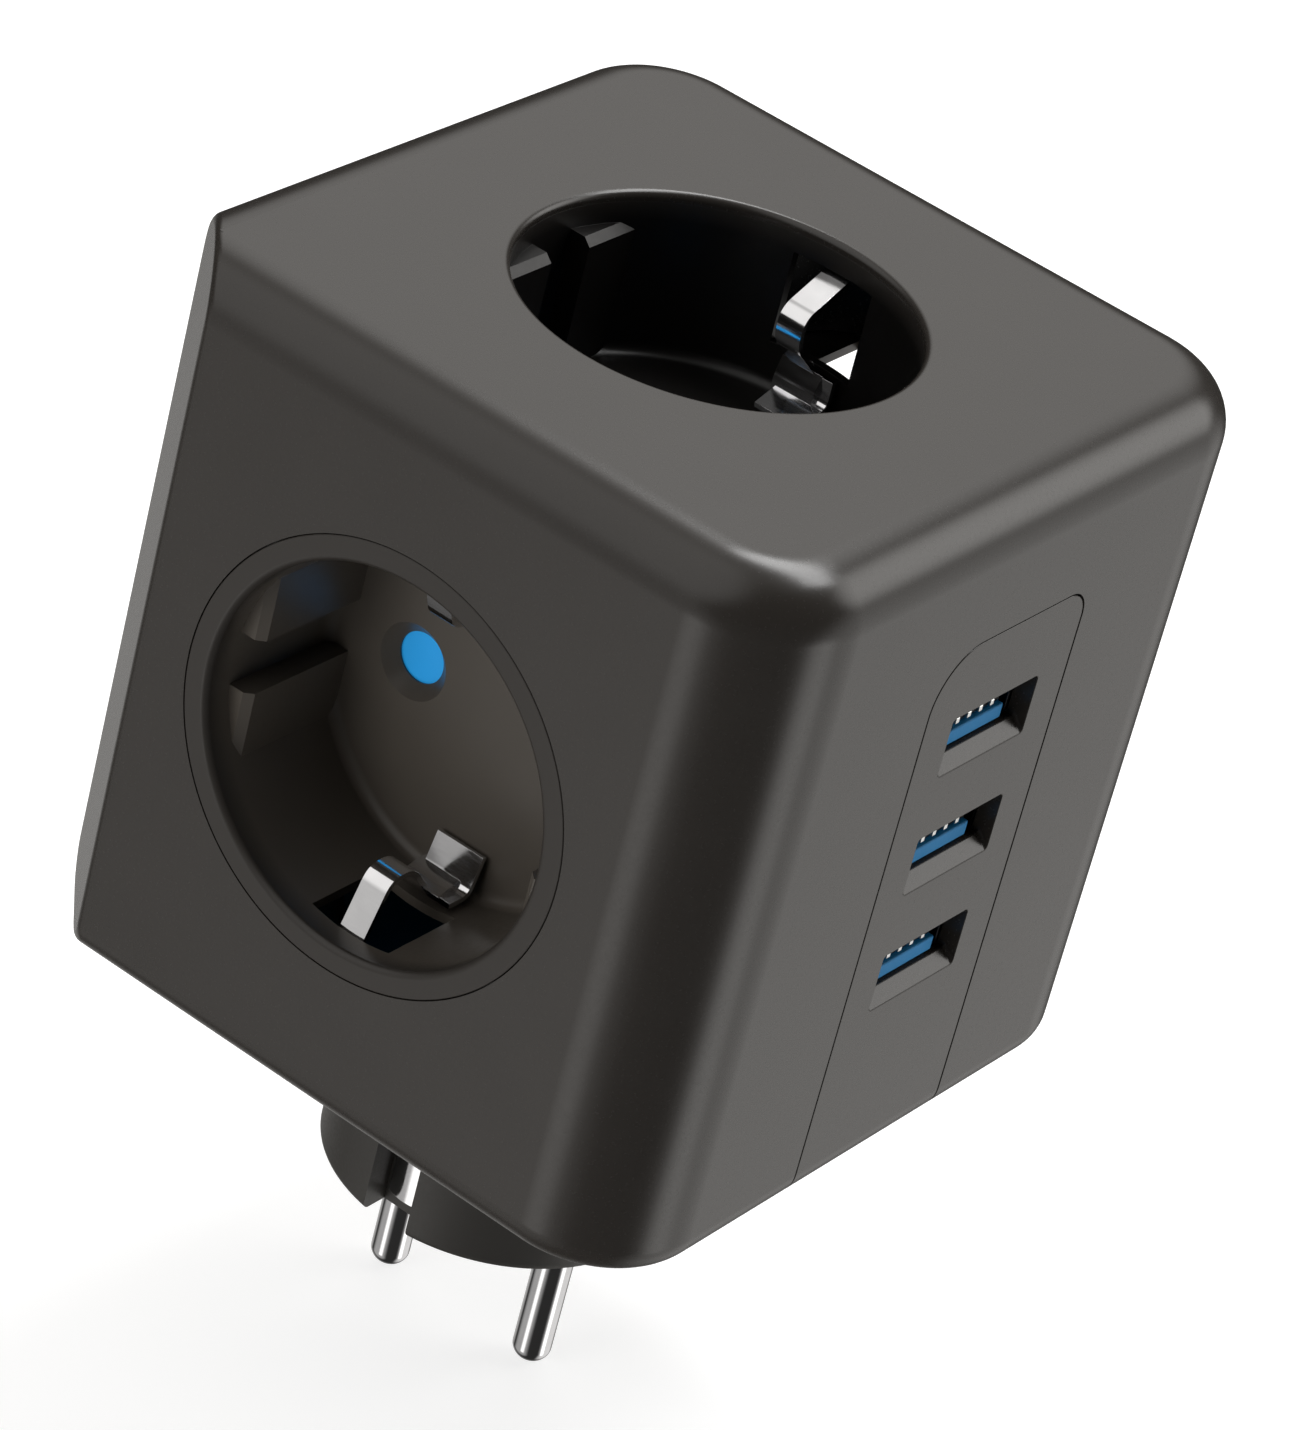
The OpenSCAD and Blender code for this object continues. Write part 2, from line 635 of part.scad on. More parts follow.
cube_shell();
base_cover();
plug_base();
plug_pin(-1);  // plug_pin_live
plug_pin(1);  // plug_pin_neutral
plug_earth_strap();
in_front() socket_insert(false);  // front_socket_insert
in_back() socket_insert(false);  // back_socket_insert
in_left() socket_insert(false);  // left_socket_insert
in_top() socket_insert(true);  // top_socket_insert
in_front() shutter();  // front_shutter
in_back() shutter();  // back_shutter
in_left() shutter();  // left_shutter
in_top() shutter();  // top_shutter
in_front() shutter_spring();  // front_shutter_spring
in_back() shutter_spring();  // back_shutter_spring
in_left() shutter_spring();  // left_shutter_spring
in_top() shutter_spring();  // top_shutter_spring
in_front() contact_carrier();  // front_contact_carrier
in_back() contact_carrier();  // back_contact_carrier
in_left() contact_carrier();  // left_contact_carrier
in_top() contact_carrier();  // top_contact_carrier
in_front() earth_clips(-1, cross_back);  // front_earth_clips
in_back() earth_clips(1, cross_back);  // back_earth_clips
in_left() earth_clips(-1, left_back);  // left_earth_clips
in_top() earth_clips(1, cross_back);  // top_earth_clips
live_busbar();
neutral_busbar();
left_neutral_link();
earth_busbar();
usb_panel();
usb_shell(0);  // usb_shell_upper
usb_shell(1);  // usb_shell_middle
usb_shell(2);  // usb_shell_lower
usb_tongue(0);  // usb_tongue_upper
usb_tongue(1);  // usb_tongue_middle
usb_tongue(2);  // usb_tongue_lower
usb_block(0);  // usb_block_upper
usb_block(1);  // usb_block_middle
usb_block(2);  // usb_block_lower
usb_contacts(0);  // usb_contacts_upper
usb_contacts(1);  // usb_contacts_middle
usb_contacts(2);  // usb_contacts_lower
usb_board();
usb_transformer();
usb_capacitors();
usb_live_lead();
usb_neutral_lead();
cover_screws();
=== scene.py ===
"""Looks of a cube travel adapter: lacquered casing, recessed sockets, USB ports and a round plug.

Shapes are drawn in millimetres in the part's own frame (origin at the plug's face, +Z up) and turned
to metres when they become objects.
"""
import json
from math import acos, atan2, cos, degrees, pi, radians, sin, sqrt

import bmesh
import bpy
from mathutils import Matrix, Vector


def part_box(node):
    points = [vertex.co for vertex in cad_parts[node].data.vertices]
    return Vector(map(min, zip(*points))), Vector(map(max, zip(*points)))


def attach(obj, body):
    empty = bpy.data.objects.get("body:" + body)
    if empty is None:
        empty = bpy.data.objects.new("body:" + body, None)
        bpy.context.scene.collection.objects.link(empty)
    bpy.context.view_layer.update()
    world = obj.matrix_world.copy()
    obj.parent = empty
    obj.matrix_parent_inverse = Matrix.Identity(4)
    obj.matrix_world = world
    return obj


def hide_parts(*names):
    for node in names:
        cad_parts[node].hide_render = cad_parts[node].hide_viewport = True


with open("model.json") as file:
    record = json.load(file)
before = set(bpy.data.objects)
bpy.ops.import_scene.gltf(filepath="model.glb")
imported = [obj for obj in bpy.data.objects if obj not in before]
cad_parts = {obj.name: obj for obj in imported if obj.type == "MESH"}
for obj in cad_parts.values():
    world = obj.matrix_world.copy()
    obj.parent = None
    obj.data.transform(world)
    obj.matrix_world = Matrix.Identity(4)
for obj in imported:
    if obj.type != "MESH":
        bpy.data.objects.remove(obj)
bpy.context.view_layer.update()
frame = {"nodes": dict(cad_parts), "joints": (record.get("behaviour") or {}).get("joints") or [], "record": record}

# ---- sizes, in millimetres ----
MM = 0.001


def span(node):
    """Lowest and highest corner of a CAD node, in millimetres."""
    low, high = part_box(node)
    return low / MM, high / MM


CUBE_LOW, CUBE_HIGH = span("cube_shell")
HALF_X = CUBE_HIGH.x
HALF_Y = CUBE_HIGH.y
FOOT_Z = CUBE_LOW.z
TOP_Z = CUBE_HIGH.z
MID_Z = (FOOT_Z + TOP_Z) / 2
PLUG_HIGH = span("plug_base")[1]
PIN_LOW, PIN_HIGH = span("plug_pin_neutral")

WALL = 2.2
CORNER_R = 11.4
TOP_R = 5.8
BOTTOM_R = 3.6
CHAMFER_X = 10.5
CHAMFER_Y = 11.8
SEAM = 0.1
SLACK = 0.2

RECESS_R = 19.5
RECESS_DEPTH = 17.5
LIP_R = 0.7
TOP_LIP = 1
RING_R = 22.1
RING_T = 1.2
CUP_R = 20.5
FLOOR_T = 1.5
FLOOR_BACK = RECESS_DEPTH + FLOOR_T
PIN_X = 9.5
PIN_HOLE_R = 2.6
GUIDE_X = 16.8
GUIDE_DEPTH = 3.3
GUIDE_BEVEL = 0.8
GROOVE_HALF = 2.9
SLOT_W = 9.4
SLOT_FROM = 3
SLOT_TO = 12.8
PIVOT_R = 2

SHUTTER_FRONT = FLOOR_BACK + 0.1
SHUTTER_T = 1.6
SHUTTER_R = 12.7
SHUTTER_HOLE_R = 2.7
SHUTTER_TURN = frame["joints"][0]["range_deg"][1]
CARRIER_FRONT = SHUTTER_FRONT + SHUTTER_T + 0.1
CARRIER_BACK = CARRIER_FRONT + 4.4
COIL = {"Turns": 3.0, "Radius": 3.0, "Rise": 2.25, "Wire": 0.3}

CLIP_T = 0.6
CLIP_W = 2.9
CLIP_REACH = 13.7
TAB_X = 0.9
TAB_W = 5.6
TAIL_R = 17.5
TAIL_X = 1.5
TAIL_W = 2.4
CROSS_BACK = CARRIER_BACK + CLIP_T / 2
LEFT_CROSS_BACK = 26.9

PANEL_Y = 0.6
PANEL_W = 23.2
PANEL_TOP = 23.4
PANEL_R_FRONT = 6
PANEL_R_BACK = 3
PORT_Z = {"upper": 12.3, "middle": -0.9, "lower": -14.1}
PORT_W = 13.7
PORT_H = 6.4
PORT_BEVEL = 1.3
TONGUE_T = 1.6
TONGUE_FRONT = 1.5
TONGUE_Z = -0.7
CONTACT_PITCH = 1.85
CONTACT_W = 0.65
CONTACT_T = 0.4
CONTACT_LIFT = 0.25
CONTACT_BACK = 0.6

COVER_T = 2.2
COVER_RIM = 5
LEDGE_W = 3
PLUG_R = 18
FLANGE_R = 21
NOTCH_W = 5.4
NOTCH_FLOOR = PLUG_R - 3.6
PLUG_FLAT = PLUG_R - 1.4
PIN_R = 2
SHANK_R = 2.3
POST_R = 3.4
POST_H = 9
POST_INSET = 11
SCREW_R = 1.2
SCREW_HEAD_R = 2.4

ROUND = 160  # sides of a large circle
SMALL = 64  # sides of a small one
PIN_SIDES = 96


def turn(angle, axis):
    return Matrix.Rotation(radians(angle), 4, axis)


# A socket's own frame has +Z out of its face and +X along its pins
SOCKETS = {
    "front": Matrix.Translation((0, -HALF_Y, MID_Z)) @ turn(90, "X"),
    "back": Matrix.Translation((0, HALF_Y, MID_Z)) @ turn(180, "Z") @ turn(90, "X"),
    "left": Matrix.Translation((-HALF_X, 0, MID_Z)) @ turn(-90, "Z") @ turn(90, "X") @ turn(45, "Z"),
    "top": Matrix.Translation((0, 0, TOP_Z)),
}
PORTS = {
    level: Matrix.Translation((HALF_X, PANEL_Y, MID_Z + z)) @ turn(90, "Z") @ turn(90, "X")
    for level, z in PORT_Z.items()
}
SCREW_PLACES = [
    (sx * (HALF_X - POST_INSET), sy * (HALF_Y - POST_INSET), FOOT_Z) for sx in (-1, 1) for sy in (-1, 1)
]


# ---- camera, floor and light ----
def place_camera():
    """The camera stands 0.6 m away, to the front right and above, and leans to one side."""
    azimuth, elevation, lean = radians(30.4), radians(31.33), radians(14.78)
    target = Vector((0.0047, -0.0010, 0.0567))
    back = Vector((sin(azimuth) * cos(elevation), -cos(azimuth) * cos(elevation), sin(elevation)))
    data = bpy.data.cameras.new("camera")
    data.sensor_fit = "VERTICAL"
    data.sensor_height = 36
    data.lens = 159.07
    data.clip_start = 0.05
    camera = bpy.data.objects.new("camera", data)
    level = back.to_track_quat("Z", "Y").to_matrix().to_4x4()
    camera.matrix_world = Matrix.Translation(target + 0.5979 * back) @ level @ Matrix.Rotation(lean, 4, "Z")
    bpy.context.scene.collection.objects.link(camera)
    bpy.context.scene.camera = camera


def softbox(name, place, aim, width, height, watts, tint="#ffffff"):
    data = bpy.data.lights.new(name, "AREA")
    data.shape = "RECTANGLE"
    data.size = width
    data.size_y = height
    data.energy = watts
    data.color = linear(tint)[:3]
    light = bpy.data.objects.new(name, data)
    light.location = place
    light.rotation_euler = (Vector(place) - Vector(aim)).to_track_quat("Z", "Y").to_euler()
    bpy.context.scene.collection.objects.link(light)
    return light


def light_the_studio():
    """A white studio: a dim world with soft bright fields, which the satin casing and the nickel show."""
    middle = (0, 0, 0.06)
    softbox("overhead", (0.05, 0.36, 0.84), middle, 0.75, 0.30, 6.0)
    fill = softbox("front_fill", (-0.26, -0.92, 0.16), middle, 0.40, 0.40, 3.0)
    fill.visible_glossy = False
    world = bpy.data.worlds.new("studio")
    world.use_nodes = True
    tree = world.node_tree
    way = add(tree, "ShaderNodeTexCoord").outputs["Generated"]
    total = None
    # each field's direction, the angles where it starts to fade and where it ends, and its brightness
    fields = [
        ((0.00, 0.30, 0.95), 5, 45, 0.30),
        ((-0.41, 0.61, 0.68), 4, 38, 1.20),
        ((0.50, 0.74, 0.43), 6, 26, 3.00),
        ((-0.43, -0.60, 0.68), 22, 48, 1.00),
        ((-0.43, -0.74, -0.52), 20, 45, 0.42),
        ((-0.22, -0.82, -0.52), 5, 14, 1.20),
        ((0.62, 0.60, -0.48), 20, 48, 0.86),
        ((0.83, 0.22, -0.52), 5, 14, 1.20),
        ((-0.68, 0.40, -0.62), 5, 28, 0.35),
        ((-0.43, 0.45, -0.78), 10, 35, 0.14),
    ]
    for towards, full, gone, level in fields:
        aim = Vector(towards).normalized()
        facing = add(tree, "ShaderNodeVectorMath", {0: way, 1: aim}, operation="DOT_PRODUCT")
        field = add(
            tree,
            "ShaderNodeMapRange",
            {
                "Value": facing.outputs["Value"],
                "From Min": cos(radians(gone)),
                "From Max": cos(radians(full)),
                "To Max": level,
            },
            interpolation_type="SMOOTHSTEP",
        ).outputs["Result"]
        total = field if total is None else add(tree, "ShaderNodeMath", {0: total, 1: field}).outputs[0]
    total = add(tree, "ShaderNodeMath", {0: total, 1: 0.03}).outputs[0]
    tree.links.new(total, tree.nodes["Background"].inputs["Strength"])
    tree.nodes["Background"].inputs["Color"].default_value = linear("#fffdfa")
    bpy.context.scene.world = world
    bpy.context.scene.view_settings.view_transform = "Standard"


# ---- materials ----
def linear(colour):
    """A hex colour in sRGB as linear red, green, blue and alpha."""
    parts = [int(colour[i : i + 2], 16) / 255 for i in (1, 3, 5)]
    return [c / 12.92 if c <= 0.04045 else ((c + 0.055) / 1.055) ** 2.4 for c in parts] + [1.0]


def add(tree, kind, inputs=None, **settings):
    """Adds a node with its settings. An input is a value, or the socket that feeds it."""
    made = tree.nodes.new(kind)
    for name, value in settings.items():
        setattr(made, name, value)
    for socket, value in (inputs or {}).items():
        if isinstance(value, bpy.types.NodeSocket):
            tree.links.new(value, made.inputs[socket])
        else:
            made.inputs[socket].default_value = value
    return made


def per_mm(size):
    """Scale of a pattern on object coordinates whose grain is that many millimetres across."""
    return 1 / (size * MM)


def new_material(name, **shader):
    """A material with a Principled shader, and the object coordinates its patterns read."""
    material = bpy.data.materials.new(name)
    material.use_nodes = True
    tree = material.node_tree
    surface = tree.nodes["Principled BSDF"]
    for socket, value in shader.items():
        surface.inputs[socket.replace("_", " ")].default_value = value
    place = add(tree, "ShaderNodeTexCoord").outputs["Object"]
    return material, tree, surface, place


def vary(tree, surface, clouds, grain, dark, light, roughness, spread, depth):
    """Clouds mix two colours; the grain sways the roughness and raises the surface, in millimetres."""
    colour = add(tree, "ShaderNodeMix", {"Factor": clouds.outputs["Fac"]}, data_type="RGBA")
    colour.inputs["A"].default_value = linear(dark)
    colour.inputs["B"].default_value = linear(light)
    sway = {"Value": grain.outputs["Fac"], "From Min": 0.3, "From Max": 0.7}
    gloss = add(tree, "ShaderNodeMapRange", sway)
    gloss.inputs["To Min"].default_value = roughness - spread
    gloss.inputs["To Max"].default_value = roughness + spread
    bump = add(tree, "ShaderNodeBump", {"Height": grain.outputs["Fac"], "Distance": depth * MM})
    bump.inputs["Strength"].default_value = 1.0
    tree.links.new(colour.outputs["Result"], surface.inputs["Base Color"])
    tree.links.new(gloss.outputs["Result"], surface.inputs["Roughness"])
    tree.links.new(bump.outputs["Normal"], surface.inputs["Normal"])


def moulded(name, dark, light, grain, roughness, spread, depth, **shader):
    """Moulded plastic: the mould's fine grain in gloss and bump, cloudy colour from the flow."""
    material, tree, surface, place = new_material(name, **shader)
    flow = add(tree, "ShaderNodeTexNoise", {"Vector": place, "Scale": per_mm(9), "Detail": 3.0})
    fine = add(tree, "ShaderNodeTexNoise", {"Vector": place, "Scale": per_mm(grain), "Detail": 4.0})
    vary(tree, surface, flow, fine, dark, light, roughness, spread, depth)
    return material


def worked_metal(name, dark, light, stretch, size, roughness, spread, depth):
    """Metal with fine lines from rolling, drawing or turning: stretch is their length along X, Y and Z."""
    material, tree, surface, place = new_material(name, Metallic=1.0)
    lay = add(tree, "ShaderNodeMapping", {"Vector": place, "Scale": [1 / s for s in stretch]})
    across = lay.outputs["Vector"]
    lines = add(tree, "ShaderNodeTexNoise", {"Vector": across, "Scale": per_mm(size), "Detail": 3.0})
    stain = add(tree, "ShaderNodeTexNoise", {"Vector": place, "Scale": per_mm(2.5), "Detail": 2.0})
    vary(tree, surface, stain, lines, dark, light, roughness, spread, depth)
    return material


def painted_cup_light_and_shade(name, dark, light):
    """The casing's tone at the ring, and a painted colour deeper down the cup: painted light in the side cups,
    painted shade in the top cup.
    """
    material = moulded(name, dark, light, 0.45, 0.36, 0.03, 0.001, IOR=1.42)
    tree = material.node_tree
    surface = tree.nodes["Principled BSDF"]
    painted_deep_colour = surface.inputs["Base Color"].links[0].from_socket
    place = add(tree, "ShaderNodeTexCoord").outputs["Object"]
    away = add(tree, "ShaderNodeVectorMath", {0: place, 1: (0, 0, MID_Z * MM)}, operation="SUBTRACT")
    away = add(tree, "ShaderNodeVectorMath", {0: away.outputs[0]}, operation="ABSOLUTE")
    half = (HALF_X * MM, HALF_Y * MM, (TOP_Z - MID_Z) * MM)
    depth = add(tree, "ShaderNodeVectorMath", {0: half, 1: away.outputs[0]}, operation="SUBTRACT")
    sides = add(tree, "ShaderNodeSeparateXYZ", {"Vector": depth.outputs[0]}).outputs
    least = add(tree, "ShaderNodeMath", {0: sides["X"], 1: sides["Y"]}, operation="MINIMUM").outputs[0]
    least = add(tree, "ShaderNodeMath", {0: least, 1: sides["Z"]}, operation="MINIMUM").outputs[0]
    fade = add(tree, "ShaderNodeMapRange", {"Value": least, "From Min": 0.5 * MM, "From Max": 3 * MM})
    # near the face the casing's tone; from 3 mm down the colour given, which is painted light in the side cups and
    # painted shade in the top cup
    mix = add(tree, "ShaderNodeMix", {"Factor": fade.outputs["Result"]}, data_type="RGBA")
    mix.inputs["A"].default_value = linear("#2b2825")
    tree.links.new(painted_deep_colour, mix.inputs["B"])
    tree.links.new(mix.outputs["Result"], surface.inputs["Base Color"])
    return material


def masked_board():
    """Glass-epoxy board under green solder mask: copper tracks show as paler, raised lines."""
    material, tree, surface, place = new_material("solder_masked_fr4", Roughness=0.3)
    tracks = add(
        tree,
        "ShaderNodeTexBrick",
        {
            "Vector": place,
            "Scale": per_mm(4),
            "Mortar Size": 0.06,
            "Mortar Smooth": 0.1,
            "Brick Width": 0.9,
        },
    )
    tracks.inputs["Color1"].default_value = linear("#1c5a30")
    tracks.inputs["Color2"].default_value = linear("#185029")
    tracks.inputs["Mortar"].default_value = linear("#3d8a4c")
    bump = add(tree, "ShaderNodeBump", {"Height": tracks.outputs["Fac"], "Distance": 0.035 * MM})
    tree.links.new(tracks.outputs["Color"], surface.inputs["Base Color"])
    tree.links.new(bump.outputs["Normal"], surface.inputs["Normal"])
    return material


def banded(name, edges, colours, roughness):
    """Bands of colour up the Z axis, softly uneven: edges are the heights between them, in millimetres."""
    material, tree, surface, place = new_material(name, Roughness=roughness)
    height = add(tree, "ShaderNodeSeparateXYZ", {"Vector": place}).outputs["Z"]
    shown = add(tree, "ShaderNodeRGB")
    shown.outputs[0].default_value = linear(colours[0])
    shown = shown.outputs[0]
    for edge, tint in zip(edges, colours[1:]):
        above = add(tree, "ShaderNodeMath", {0: height, 1: edge * MM}, operation="GREATER_THAN")
        mix = add(tree, "ShaderNodeMix", {"Factor": above.outputs[0]}, data_type="RGBA")
        tree.links.new(shown, mix.inputs["A"])
        mix.inputs["B"].default_value = linear(tint)
        shown = mix.outputs["Result"]
    mottle = add(tree, "ShaderNodeTexNoise", {"Vector": place, "Scale": per_mm(0.8)})
    bump = add(tree, "ShaderNodeBump", {"Height": mottle.outputs["Fac"], "Distance": 0.02 * MM})
    tree.links.new(shown, surface.inputs["Base Color"])
    tree.links.new(bump.outputs["Normal"], surface.inputs["Normal"])
    return material


def make_materials():
    winding_low, winding_high = span("usb_transformer")
    core = 3
    return {
        # soft-touch lacquer over moulded ABS: dark warm grey, broad soft highlights, a faint grain
        "casing": moulded("lacquered_abs", "#272421", "#2b2825", 0.35, 0.26, 0.02, 0.0008, IOR=1.5),
        # the same ABS left bare on the underside: a little darker and drier
        "dark_casing": moulded("bare_abs", "#2b2926", "#302e2b", 0.30, 0.44, 0.05, 0.008, IOR=1.53),
        # paler charcoal down the side cups as painted light, with a soft sheen down the walls, and the casing's
        # tone at the ring
        "insert": painted_cup_light_and_shade("charcoal_abs_with_painted_light", "#46413b", "#4c4741"),
        # the top cup is painted near-black below the ring as painted shade, as the light doesn't reach down it
        "top_cup_painted_shade": painted_cup_light_and_shade("black_abs_as_painted_shade", "#0c0b0a", "#100e0d"),
        # pigmented acetal: bright and smooth, with a waxy gloss, and a faint painted glow from its emission
        "shutter": moulded(
            "blue_acetal_with_painted_glow",
            "#1c8ad0",
            "#2a98dc",
            0.40,
            0.38,
            0.05,
            0.004,
            IOR=1.48,
            # the emission is a painted glow that keeps the shutter bright deep in the recess
            Emission_Color=linear("#2391d2"),
            Emission_Strength=0.3,
        ),
        # glass-filled nylon: cream, slightly fibrous and dull
        "carrier": moulded("glass_filled_nylon", "#d8d2c0", "#e8e3d4", 0.25, 0.55, 0.08, 0.020, IOR=1.53),
        # liquid-crystal polymer, moulded blue for the tongues
        "tongue": moulded("blue_lcp", "#0a6ca0", "#0f78b0", 0.30, 0.60, 0.05, 0.006, IOR=1.4),
        # the same polymer, moulded black
        "port_block": moulded("black_lcp", "#0c0c0d", "#141415", 0.30, 0.40, 0.05, 0.006, IOR=1.6),
        # shrink-sleeved cans: a dark sleeve with a satin shine
        "capacitor": moulded("pvc_sleeve", "#1c2a4a", "#24355a", 0.50, 0.35, 0.05, 0.010, IOR=1.53),
        "live_lead": moulded("brown_pvc", "#5a3318", "#6a4020", 0.60, 0.42, 0.06, 0.010, IOR=1.53),
        "neutral_lead": moulded("blue_pvc", "#25508c", "#2f5e9c", 0.60, 0.42, 0.06, 0.010, IOR=1.53),
        # nickel-plated spring bronze, stamped and barrel-polished: mirror-bright flats
        "earth_metal": worked_metal(
            "stamped_nickel_bronze", "#dcdcde", "#ececee", (8, 1, 1), 0.25, 0.13, 0.04, 0.001
        ),
        # nickel-plated brass turned on a lathe: rings too fine to see, a hard bright shine
        "pins": worked_metal(
            "turned_nickel_brass", "#d2d2d4", "#e4e4e6", (9, 9, 1), 0.20, 0.10, 0.03, 0.001
        ),
        # stainless sheet folded round the port: dull bright
        "port_shell": worked_metal(
            "folded_stainless", "#55555a", "#66666a", (1, 1, 6), 0.20, 0.32, 0.06, 0.002
        ),
        # tin-plated copper
        "port_contacts": worked_metal(
            "tinned_copper", "#e6e6e4", "#f2f2f0", (1, 1, 1), 0.20, 0.30, 0.05, 0.001
        ),
        # stamped brass strip, as rolled
        "busbar": worked_metal("rolled_brass", "#b98a3c", "#cf9f4c", (1, 1, 8), 0.25, 0.25, 0.06, 0.002),
        # drawn stainless wire
        "spring_steel": worked_metal(
            "drawn_steel_wire", "#a8a8ac", "#c0c0c4", (1, 1, 3), 0.10, 0.25, 0.05, 0.001
        ),
        # zinc-plated, cold-headed steel
        "screw": worked_metal(
            "zinc_plated_steel", "#a6a8ac", "#bcbec2", (1, 1, 1), 0.40, 0.30, 0.08, 0.004
        ),
        "board": masked_board(),
        # a ferrite core at both ends of a coil wrapped in polyester tape
        "winding": banded(
            "ferrite_and_tape",
            [winding_low.z + core, winding_high.z - core],
            ["#2a2a2c", "#d2a828", "#2a2a2c"],
            0.45,
        ),
    }


def make_floor(top):
    """A pale matt floor under the pins, lit a little from within so that shadows stay light."""
    material, tree, surface, place = new_material("pale_floor", Roughness=0.7)
    cloud = add(tree, "ShaderNodeTexNoise", {"Vector": place, "Scale": 6.0})
    colour = add(tree, "ShaderNodeMix", {"Factor": cloud.outputs["Fac"]}, data_type="RGBA")
    colour.inputs["A"].default_value = linear("#b6b6b6")
    colour.inputs["B"].default_value = linear("#bababa")
    tree.links.new(colour.outputs["Result"], surface.inputs["Base Color"])
    surface.inputs["Emission Color"].default_value = linear("#ffffff")
    surface.inputs["Emission Strength"].default_value = 0.72
    mesh = bpy.data.meshes.new("floor")
    reach = 3
    corners = [(-reach, -reach, top), (reach, -reach, top), (reach, reach, top), (-reach, reach, top)]
    mesh.from_pydata(corners, [], [(0, 1, 2, 3)])
    mesh.materials.append(material)
    floor = bpy.data.objects.new("floor", mesh)
    bpy.context.scene.collection.objects.link(floor)
    floor.visible_glossy = False


# ---- drawing, in millimetres ----
def loft(rings, closed=False):
    """A skin through rings of points. Its ends are capped, or joined to each other when closed."""
    mesh = bmesh.new()
    rows = [[mesh.verts.new(p) for p in ring] for ring in rings]
    pairs = list(zip(rows, rows[1:])) + ([(rows[-1], rows[0])] if closed else [])
    for low, high in pairs:
        for i in range(len(low)):
            j = (i + 1) % len(low)
            mesh.faces.new((low[i], low[j], high[j], high[i]))
    if not closed:
        mesh.faces.new(rows[0])
        mesh.faces.new(rows[-1])
    return tidy(mesh)


def tidy(mesh):
    """Merges points that coincide and turns the faces outward."""
    bmesh.ops.remove_doubles(mesh, verts=mesh.verts, dist=1e-6)
    bmesh.ops.dissolve_degenerate(mesh, edges=mesh.edges, dist=1e-6)
    bmesh.ops.recalc_face_normals(mesh, faces=mesh.faces)
    return mesh


def circle(radius, z, sides=ROUND):
    angles = [2 * pi * i / sides for i in range(sides)]
    return [(radius * cos(a), radius * sin(a), z) for a in angles]


def lathe(profile, sides=ROUND):
    """A solid of revolution about Z: the profile is [radius, z] from the axis round to the axis."""
    return loft([circle(r, z, sides) for r, z in profile])


def bow(centre, radius, start, stop, steps=8):
    """Points of an arc, from one angle to another in degrees."""
    angles = [radians(start + (stop - start) * i / steps) for i in range(steps + 1)]
    return [(centre[0] + radius * cos(a), centre[1] + radius * sin(a)) for a in angles]


def prism(outline, low, high):
    return loft([[(x, y, z) for x, y in outline] for z in (low, high)])


def block(low, high):
    (x1, y1, z1), (x2, y2, z2) = low, high
    return prism([(x1, y1), (x2, y1), (x2, y2), (x1, y2)], z1, z2)


def moved(mesh, matrix):
    mesh.transform(matrix)
    return mesh


def raw_object(name, mesh):
    """An object from a drawing in millimetres. The drawing is used up."""
    mesh.transform(Matrix.Scale(MM, 4))
    data = bpy.data.meshes.new(name)
    mesh.to_mesh(data)
    mesh.free()
    made = bpy.data.objects.new(name, data)
    bpy.context.scene.collection.objects.link(made)
    return made


def bake(piece):
    """Puts the result of a piece's modifiers into its mesh."""
    seen = piece.evaluated_get(bpy.context.evaluated_depsgraph_get())
    data = bpy.data.meshes.new_from_object(seen)
    piece.modifiers.clear()
    old, piece.data = piece.data, data
    bpy.data.meshes.remove(old)
    return piece


def carve(piece, operation, *drawings):
    """Cuts drawings out of a piece, or adds or intersects them."""
    tools = [raw_object("tool", drawing) for drawing in drawings]
    for tool in tools:
        step = piece.modifiers.new("carve", "BOOLEAN")
        step.operation = operation
        step.solver = "EXACT"
        step.object = tool
    bake(piece)
    for tool in tools:
        bpy.data.objects.remove(tool)
    return piece


def finish(piece, body, slot, nodes, edge=0.15, segments=2, angle=28, look=None):
    """Breaks the sharp edges, sets the shading and the material, and hands the piece over."""
    data = piece.data
    data.shade_smooth()
    data.set_sharp_from_angle(angle=radians(angle))
    if edge:
        soft = piece.modifiers.new("edges", "BEVEL")
        soft.width = edge * MM
        soft.segments = segments
        soft.limit_method = "ANGLE"
        soft.angle_limit = radians(angle)
        soft.miter_outer = "MITER_ARC"
    even = piece.modifiers.new("shading", "WEIGHTED_NORMAL")
    even.keep_sharp = True
    bake(piece)
    piece.data.materials.clear()
    piece.data.materials.append(FINISHES[look or slot])
    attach(piece, body)
    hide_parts(*nodes)
    return piece


# ---- outline of the cube seen from above ----
CHAMFER_TURN = degrees(atan2(CHAMFER_X, CHAMFER_Y))
CHAMFER_D = (HALF_X - CHAMFER_X) * cos(radians(CHAMFER_TURN)) + HALF_Y * sin(radians(CHAMFER_TURN))
# Faces as the angle of the normal and the distance, then the radius of the corner after each face
FACES = [
    (270, HALF_Y),
    (360, HALF_X),
    (450, HALF_Y),
    (540, HALF_X),
    (540 + CHAMFER_TURN, CHAMFER_D),
    (630, HALF_Y),
]
RADII = [CORNER_R, CORNER_R, CORNER_R, TOP_R, TOP_R]


def meet(a1, d1, a2, d2):
    """Where two lines meet, given the angles of their normals and their distances from the centre."""
    a1, a2 = radians(a1), radians(a2)
    return (
        (d1 * sin(a2) - d2 * sin(a1)) / sin(a2 - a1),
        (d2 * cos(a1) - d1 * cos(a2)) / sin(a2 - a1),
    )


def plan(inset, steps=24):
    """The outline moved inwards, as points."""
    points = []
    for i, radius in enumerate(RADII):
        r = max(radius, inset + 0.8) if inset > TOP_R else radius
        (a1, d1), (a2, d2) = FACES[i], FACES[i + 1]
        points += bow(meet(a1, d1 - r, a2, d2 - r), r - inset, a1, a2, steps)
    return points


